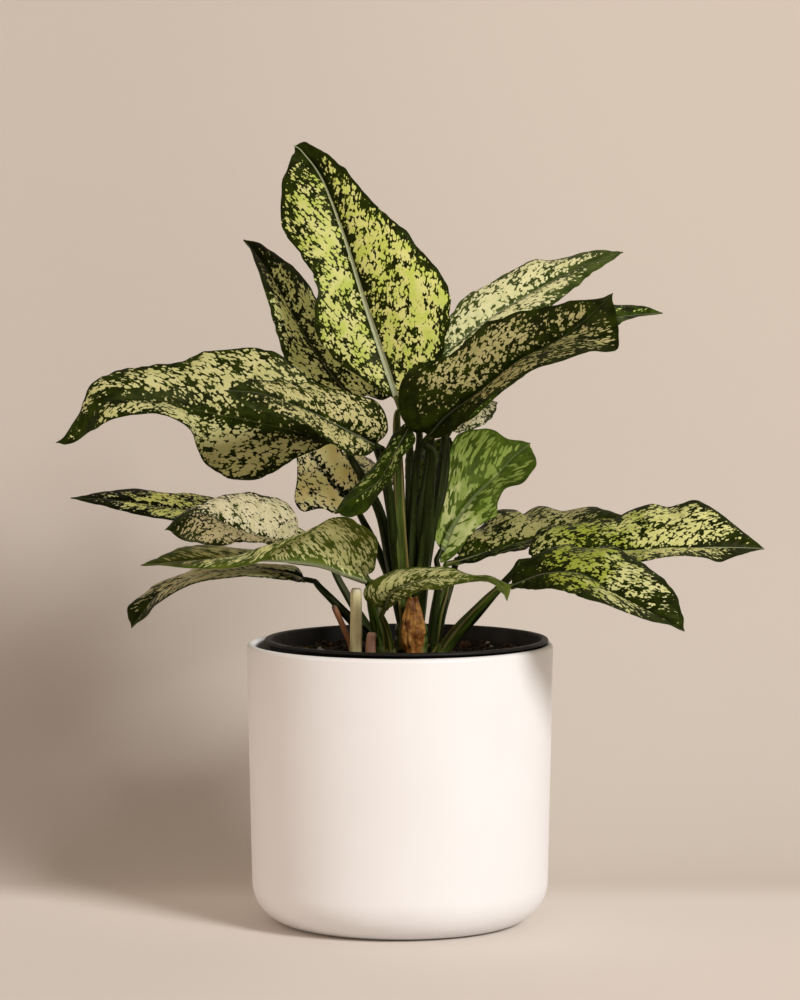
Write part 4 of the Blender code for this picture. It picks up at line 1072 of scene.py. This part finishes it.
def make_nursery_pot():
    """The black pot inside: a thin wall with a rolled flat lip.

    Its floor is plain: the solid's drain holes are left out here, because they are out
    of sight below the soil.
    """
    floor = NURSERY_BASE + NURSERY_WALL
    half = NURSERY_LIP_HEIGHT / 2
    profile = [(0, floor), (NURSERY_BASE_RADIUS - NURSERY_WALL - 3, floor)]
    profile += arc((NURSERY_BASE_RADIUS - NURSERY_WALL - 3, floor + 3), 3, -90, 0, 5)
    profile += arc((NURSERY_TOP_RADIUS - NURSERY_WALL + 1, NURSERY_TOP - 1), 1, 180, 90, 5)
    profile += arc((NURSERY_LIP_RADIUS - half, NURSERY_TOP - half), half, 90, -60, 9)
    profile += [(NURSERY_TOP_RADIUS + 0.6, NURSERY_LIP_BOTTOM),
                (NURSERY_TOP_RADIUS, NURSERY_LIP_BOTTOM - 0.6)]
    profile += arc((NURSERY_BASE_RADIUS - 2, NURSERY_BASE + 2), 2, 0, -90, 5)
    profile += [(20, NURSERY_BASE), (0, NURSERY_BASE)]
    finish_piece("nursery_pot", turned_shape(profile, NURSERY_OFFSET), [plastic_look()])


def soil_rise(x, y):
    """How far the uneven soil stands above its mean height."""
    return SOIL_BUMP * (0.5 * np.sin(0.13 * x + 1.1) * np.cos(0.11 * y - 0.4)
                        + 0.35 * np.sin(0.23 * y + 0.07 * x)
                        + 0.25 * np.cos(0.31 * x - 0.19 * y))


def crumb_shape(centre, size, seed):
    """A rough lump: a small ball pushed in and out."""
    rng = np.random.default_rng(seed)
    rise = np.linspace(-math.pi / 2, math.pi / 2, CRUMB_ROWS)
    turn = full_turn(CRUMB_SIDES)
    points = np.zeros((CRUMB_ROWS, CRUMB_SIDES, 3))
    points[:, :, 0] = np.cos(rise)[:, None] * np.cos(turn)
    points[:, :, 1] = np.cos(rise)[:, None] * np.sin(turn)
    points[:, :, 2] = np.sin(rise)[:, None]
    points[0], points[-1] = points[0].mean(axis=0), points[-1].mean(axis=0)
    points[1:-1] *= rng.uniform(0.7, 1.25, (CRUMB_ROWS - 2, CRUMB_SIDES, 1))
    stretch = rng.uniform(0.6, 1.4, 3) * size
    angle = rng.uniform(0, 2 * math.pi)
    spin = np.array([[math.cos(angle), -math.sin(angle), 0], [math.sin(angle), math.cos(angle), 0],
                     [0, 0, 1]])
    points = (points * stretch) @ spin.T + centre
    body = points[1:-1].reshape(-1, 3)
    faces = grid_faces(CRUMB_ROWS - 2, CRUMB_SIDES, wrap=True).tolist()
    low, high = len(body), len(body) + 1
    top_row = (CRUMB_ROWS - 3) * CRUMB_SIDES
    for corner in range(CRUMB_SIDES):
        beside = (corner + 1) % CRUMB_SIDES
        faces.append([low, beside, corner])
        faces.append([high, top_row + corner, top_row + beside])
    return np.vstack([body, points[0, 0], points[-1, 0]]), faces


def soil_look():
    """Dark potting mix, with paler crumbs, bits of bark and pale grains."""
    wet, damp, dry = (0.006, 0.004, 0.002), (0.040, 0.027, 0.014), (0.075, 0.048, 0.03)
    bark_colour, grain_colour = (0.10, 0.05, 0.026), (0.42, 0.38, 0.32)
    look = Look("potting_mix")
    shade, pale, bark = look.attribute("crumb_shade")
    grain = look.noise(look.place(), 420.0, 4.0, 0.7)
    lump = look.noise(look.place(), 90.0, 3.0)
    colour = look.mix(look.ease(grain, 0.35, 0.7), wet, damp)
    colour = look.mix(look.times(shade, look.ease(lump, 0.3, 0.7)), colour, dry)
    colour = look.mix(bark, colour, bark_colour)
    colour = look.mix(pale, colour, grain_colour)
    return look.surface(colour, 0.85, look.bump(grain, 0.8, 0.8), specular=0.15)


def soil_bed(top_radius, base_radius, base):
    """The soil's body, uneven on top."""
    profile = [(radius, SOIL_TOP) for radius in np.linspace(0, 1, SOIL_RINGS) * top_radius]
    profile += [(base_radius, base), (0, base)]
    points, faces = turned_shape(profile, NURSERY_OFFSET)
    x, y = points[:, 0], points[:, 1]
    rough = (0.9 * patchy(x / 5, y / 5, 1) + 0.7 * patchy(x / 2.2, y / 2.2, 2)
             + 0.5 * patchy(x / 1.1, y / 1.1, 3))
    on_top = points[:, 2] == SOIL_TOP
    points[on_top, 2] += (soil_rise(x, y) + rough)[on_top]
    return points, faces, np.zeros((len(points), 3))


def make_soil():
    """Crumbly potting mix: an uneven bed with loose crumbs, bits of bark and pale grains."""
    clear = NURSERY_WALL + SOIL_GAP
    slope = (NURSERY_TOP_RADIUS - NURSERY_BASE_RADIUS) / (NURSERY_LIP_BOTTOM - NURSERY_BASE - 2)
    top_radius = NURSERY_TOP_RADIUS - clear - slope * (NURSERY_LIP_BOTTOM - SOIL_TOP) - SOIL_GAP
    shapes = [soil_bed(top_radius, NURSERY_BASE_RADIUS - clear - SOIL_GAP, NURSERY_BASE + clear)]
    rng = np.random.default_rng(12)
    for number in range(CRUMBS):
        radius = (top_radius - 2) * math.sqrt(rng.uniform())
        turn = rng.uniform(0, 2 * math.pi)
        x, y = NURSERY_OFFSET + radius * math.cos(turn), radius * math.sin(turn)
        size = rng.uniform(0.5, 1.7) if rng.uniform() < 0.9 else rng.uniform(1.7, 3.2)
        height = SOIL_TOP + float(soil_rise(x, y)) + size * 0.4
        points, faces = crumb_shape((x, y, height), size, number)
        kind = rng.uniform()
        shade = (rng.uniform(0.1, 0.5), 1.0 if kind > 0.93 else 0.0, 1.0 if kind < 0.12 else 0.0)
        shapes.append((points, faces, np.tile(shade, (len(points), 1))))
    points, faces, shades = joined(shapes)
    finish_piece("soil", (points, faces), [soil_look()], {"crumb_shade": shades},
                 crease=60)


def sheath_look():
    """Brown papery skin with fine upright fibres."""
    look = Look("dry_papery_sheath")
    x, y, z = look.parts(look.place())
    fibre = look.noise(look.vector(look.times(x, 420.0), look.times(y, 420.0), look.times(z, 110.0)),
                       1.0, 4.0, 0.65)
    broad = look.noise(look.place(), 160.0, 3.0, 0.6)
    colour = look.mix(look.ease(broad, 0.35, 0.68), (0.072, 0.018, 0.0006), (0.36, 0.165, 0.034))
    colour = look.mix(look.ease(fibre, 0.55, 0.75, 0.0, 0.6), colour, (0.48, 0.29, 0.11))
    return look.surface(colour, look.ease(broad, 0.3, 0.7, 0.4, 0.65), look.bump(fibre, 0.6, 0.7),
                        specular=0.2)


def make_sheath():
    """The dry papery sheath: pleated, twisted and torn at its top."""
    profile = np.array(SHEATH_PROFILE, float)[::-1]
    low, high = profile[0, 1], profile[-1, 1]
    heights = np.linspace(low, high, SHEATH_ROWS)
    widths = np.interp(heights, profile[:, 1], profile[:, 0])
    turn = full_turn(SHEATH_SIDES)[None, :]
    climb = heights[:, None]
    open_air = smooth(climb, SOIL_TOP - 2, SOIL_TOP + 8)
    pleats = (0.05 * np.cos(9 * turn + climb / 5.0) + 0.035 * np.cos(17 * turn - climb / 7.5)
              + 0.06 * patchy(turn * 10 / math.pi % 20, climb / 4.0, 5)
              + 0.05 * patchy(turn * 20 / math.pi % 40, climb / 2.0, 6))
    reach = widths[:, None] * (1 + pleats * open_air)
    torn = 1.6 * patchy(turn * 16 / math.pi % 32, 0.0, 8) * smooth(climb, 190, high)
    points = np.zeros((SHEATH_ROWS, SHEATH_SIDES, 3))
    points[:, :, 0] = SHEATH_CENTRE[0] + reach * np.cos(turn)
    points[:, :, 1] = SHEATH_CENTRE[1] + reach * np.sin(turn) * SHEATH_DEPTH_SHARE
    points[:, :, 2] = climb + torn
    shape = points.reshape(-1, 3), tube_faces(SHEATH_ROWS, SHEATH_SIDES)
    finish_piece("dry_sheath", shape, [sheath_look()])


def stub_look(name, young, old, end):
    """A streaky cut stalk that dries towards its cut end."""
    look = Look("fine_look_" + name)
    gone, turn, share = look.attribute("rod_mm")
    streak = look.noise(look.vector(look.over(gone, 16.0), look.times(turn, 2.0), 1.0), detail=4.0)
    colour = look.mix(look.ease(streak, 0.3, 0.7), young, old)
    colour = look.mix(look.ease(share, 0.93, 1.0), colour, end)
    return look.surface(colour, 0.55, look.bump(streak, 0.4, 0.6))


def make_stub(name, young, old, end):
    """A cut stalk: a slightly crooked rod with a worn end."""
    route, foot, head = STUBS[name]
    path = curve_through(route, np.linspace(0, 1, STUB_ROWS))
    radii = np.linspace(foot, head, STUB_ROWS)
    radii[-3:] = radii[-3:] * (0.97, 0.9, 0.72)
    radii = radii * (1 + 0.03 * patchy(np.arange(STUB_ROWS) / 5.0, 0.5, 21))

    def shaping(turn, share):
        return 1 + 0.05 * np.cos(5 * turn + 2.0) + 0.02 * np.cos(11 * turn)

    points, faces, marks = rod_shape(path, radii, (0, -1, 0), STUB_SIDES, shaping)
    finish_piece(name, (points, faces), [stub_look(name, young, old, end)], {"rod_mm": marks})


def paper_look():
    """Warm paper that is darker on the wall, with painted shade where the key light meets it more
    squarely and painted shade on the left, and clear from its back.
    """
    look = Look("warm_paper")
    tone = look.noise(look.place(), 2.2, 2.0)
    x, y, height = look.parts(look.place())
    rise = look.over(height, SWEEP_RADIUS * MM)
    level = look.math("MAXIMUM", look.math("SUBTRACT", 1.0, rise), 0.0)
    upright = look.math("SQRT", look.math("SUBTRACT", 1.0, look.times(level, level)))
    lit = look.math("MULTIPLY_ADD", level, KEY_ON_FLOOR, ROOM_ON_STAGE)
    lit = look.math("MULTIPLY_ADD", upright, KEY_ON_WALL, lit)
    wall = look.mix(1.0, WALL_COLOUR, look.over(KEY_ON_WALL + ROOM_ON_STAGE, lit), "MULTIPLY")
    base = look.mix(look.ease(y, 0.06, 0.15), FLOOR_COLOUR, wall)
    # Painted shade towards the left of the floor and wall.
    base = look.mix(1.0, base, look.mix(look.ease(x, -0.25, 0.16), PAINTED_LEFT_SHADE, NO_PAINTED_SHADE), "MULTIPLY")
    colour = look.mix(look.ease(tone, 0.3, 0.7, 0.0, 0.06), base, PAPER_MOTTLE)
    paper = look.add("ShaderNodeBsdfPrincipled", {"Base Color": colour, "Roughness": 0.9,
                                                  "Specular IOR Level": 0.1}).outputs[0]
    clear = look.add("ShaderNodeBsdfTransparent").outputs[0]
    back = look.add("ShaderNodeNewGeometry").outputs["Backfacing"]
    return look.finish(look.add("ShaderNodeMixShader", {0: back, 1: paper, 2: clear}).outputs[0])


def make_sheet(name, profile, look):
    """A wide open sheet with the given profile of (y, height), which is part of the stage."""
    points = np.zeros((2, len(profile), 3))
    points[0, :, 0], points[1, :, 0] = -STAGE_REACH, STAGE_REACH
    points[:, :, 1:] = profile
    mesh = bpy.data.meshes.new(name)
    faces = grid_faces(2, len(profile))[:, ::-1]
    mesh.from_pydata((points.reshape(-1, 3) * MM).tolist(), [], faces.tolist())
    mesh.shade_smooth()
    mesh.materials.append(look)
    sheet = add_object(name, mesh)


def make_stage():
    """A plain pale floor that sweeps up into a wall, and a floor behind that wall."""
    turn = WALL_DISTANCE - SWEEP_RADIUS
    sweep = [(-STAGE_REACH, 0.0), (-600.0, 0.0), (0.0, 0.0)]
    sweep += arc((turn, SWEEP_RADIUS), SWEEP_RADIUS, -90, 0, 24)
    sweep += [(WALL_DISTANCE, 700.0), (WALL_DISTANCE, WALL_HEIGHT)]
    make_sheet("floor_sweep", sweep, paper_look())
    behind = Look("paper_behind").surface(FLOOR_BEHIND_COLOUR, 0.9)
    make_sheet("floor_behind", [(turn, -BEHIND_DROP), (STAGE_REACH, -BEHIND_DROP)], behind)


def make_room():
    """Warm light from all round, stronger from the front and the left at eye level."""
    look = Look("room", "worlds")
    x, y, z = look.parts(look.place("Generated"))
    level = look.ease(look.math("ABSOLUTE", z), 0.9, 0.0)
    front = look.times(look.ease(y, 0.1, -1.0, 0.0, ROOM_FRONT), level)
    power = look.total(front, look.ease(x, -0.35, -1.0, 0.0, ROOM_LEFT), ROOM_POWER)
    inputs = {"Color": (*ROOM_COLOUR, 1.0), "Strength": power}
    background = look.add("ShaderNodeBackground", inputs).outputs[0]
    look.add("ShaderNodeOutputWorld", {"Surface": background})
    bpy.context.scene.world = look.owner


def make_key():
    """A soft key light from the right front."""
    sun = bpy.data.lights.new("key_light", "SUN")
    sun.energy = KEY_POWER
    sun.angle = math.radians(KEY_WIDTH)
    sun.color = KEY_COLOUR
    holder = add_object("key_light", sun)
    holder.rotation_euler = (math.radians(90 - KEY_RISE), 0, math.radians(KEY_TURN))


def make_camera():
    """The camera at the photograph's viewing angle."""
    lens = bpy.data.cameras.new("camera")
    lens.sensor_fit = "VERTICAL"
    lens.sensor_height = SENSOR
    lens.lens = SENSOR * FOCAL_PIXELS / FRAME_HEIGHT
    holder = add_object("camera", lens)
    holder.location = CAMERA_PLACE
    holder.rotation_euler = (math.pi / 2 - CAMERA_DOWN, 0, 0)
    bpy.context.scene.camera = holder


def main():
    """Makes every piece, the stage, the light and the camera."""
    make_camera()
    make_key()
    make_room()
    make_stage()
    make_planter()
    make_nursery_pot()
    make_soil()
    stalks = stalk_look()
    for name in SHOOTS:
        make_shoot(name, stalks)
    for name in BLADES:
        make_blade(name)
    make_sheath()
    make_stub("cut_stub_pale", young=(0.80, 0.72, 0.40), old=(0.60, 0.56, 0.29),
              end=(0.55, 0.50, 0.34))
    make_stub("cut_stub_brown", young=(0.30, 0.12, 0.05), old=(0.42, 0.20, 0.10),
              end=(0.10, 0.05, 0.03))
    make_stub("cut_nub_pink", young=(0.50, 0.26, 0.20), old=(0.36, 0.20, 0.12),
              end=(0.60, 0.40, 0.30))
    bpy.context.scene.view_settings.view_transform = "Standard"


main()
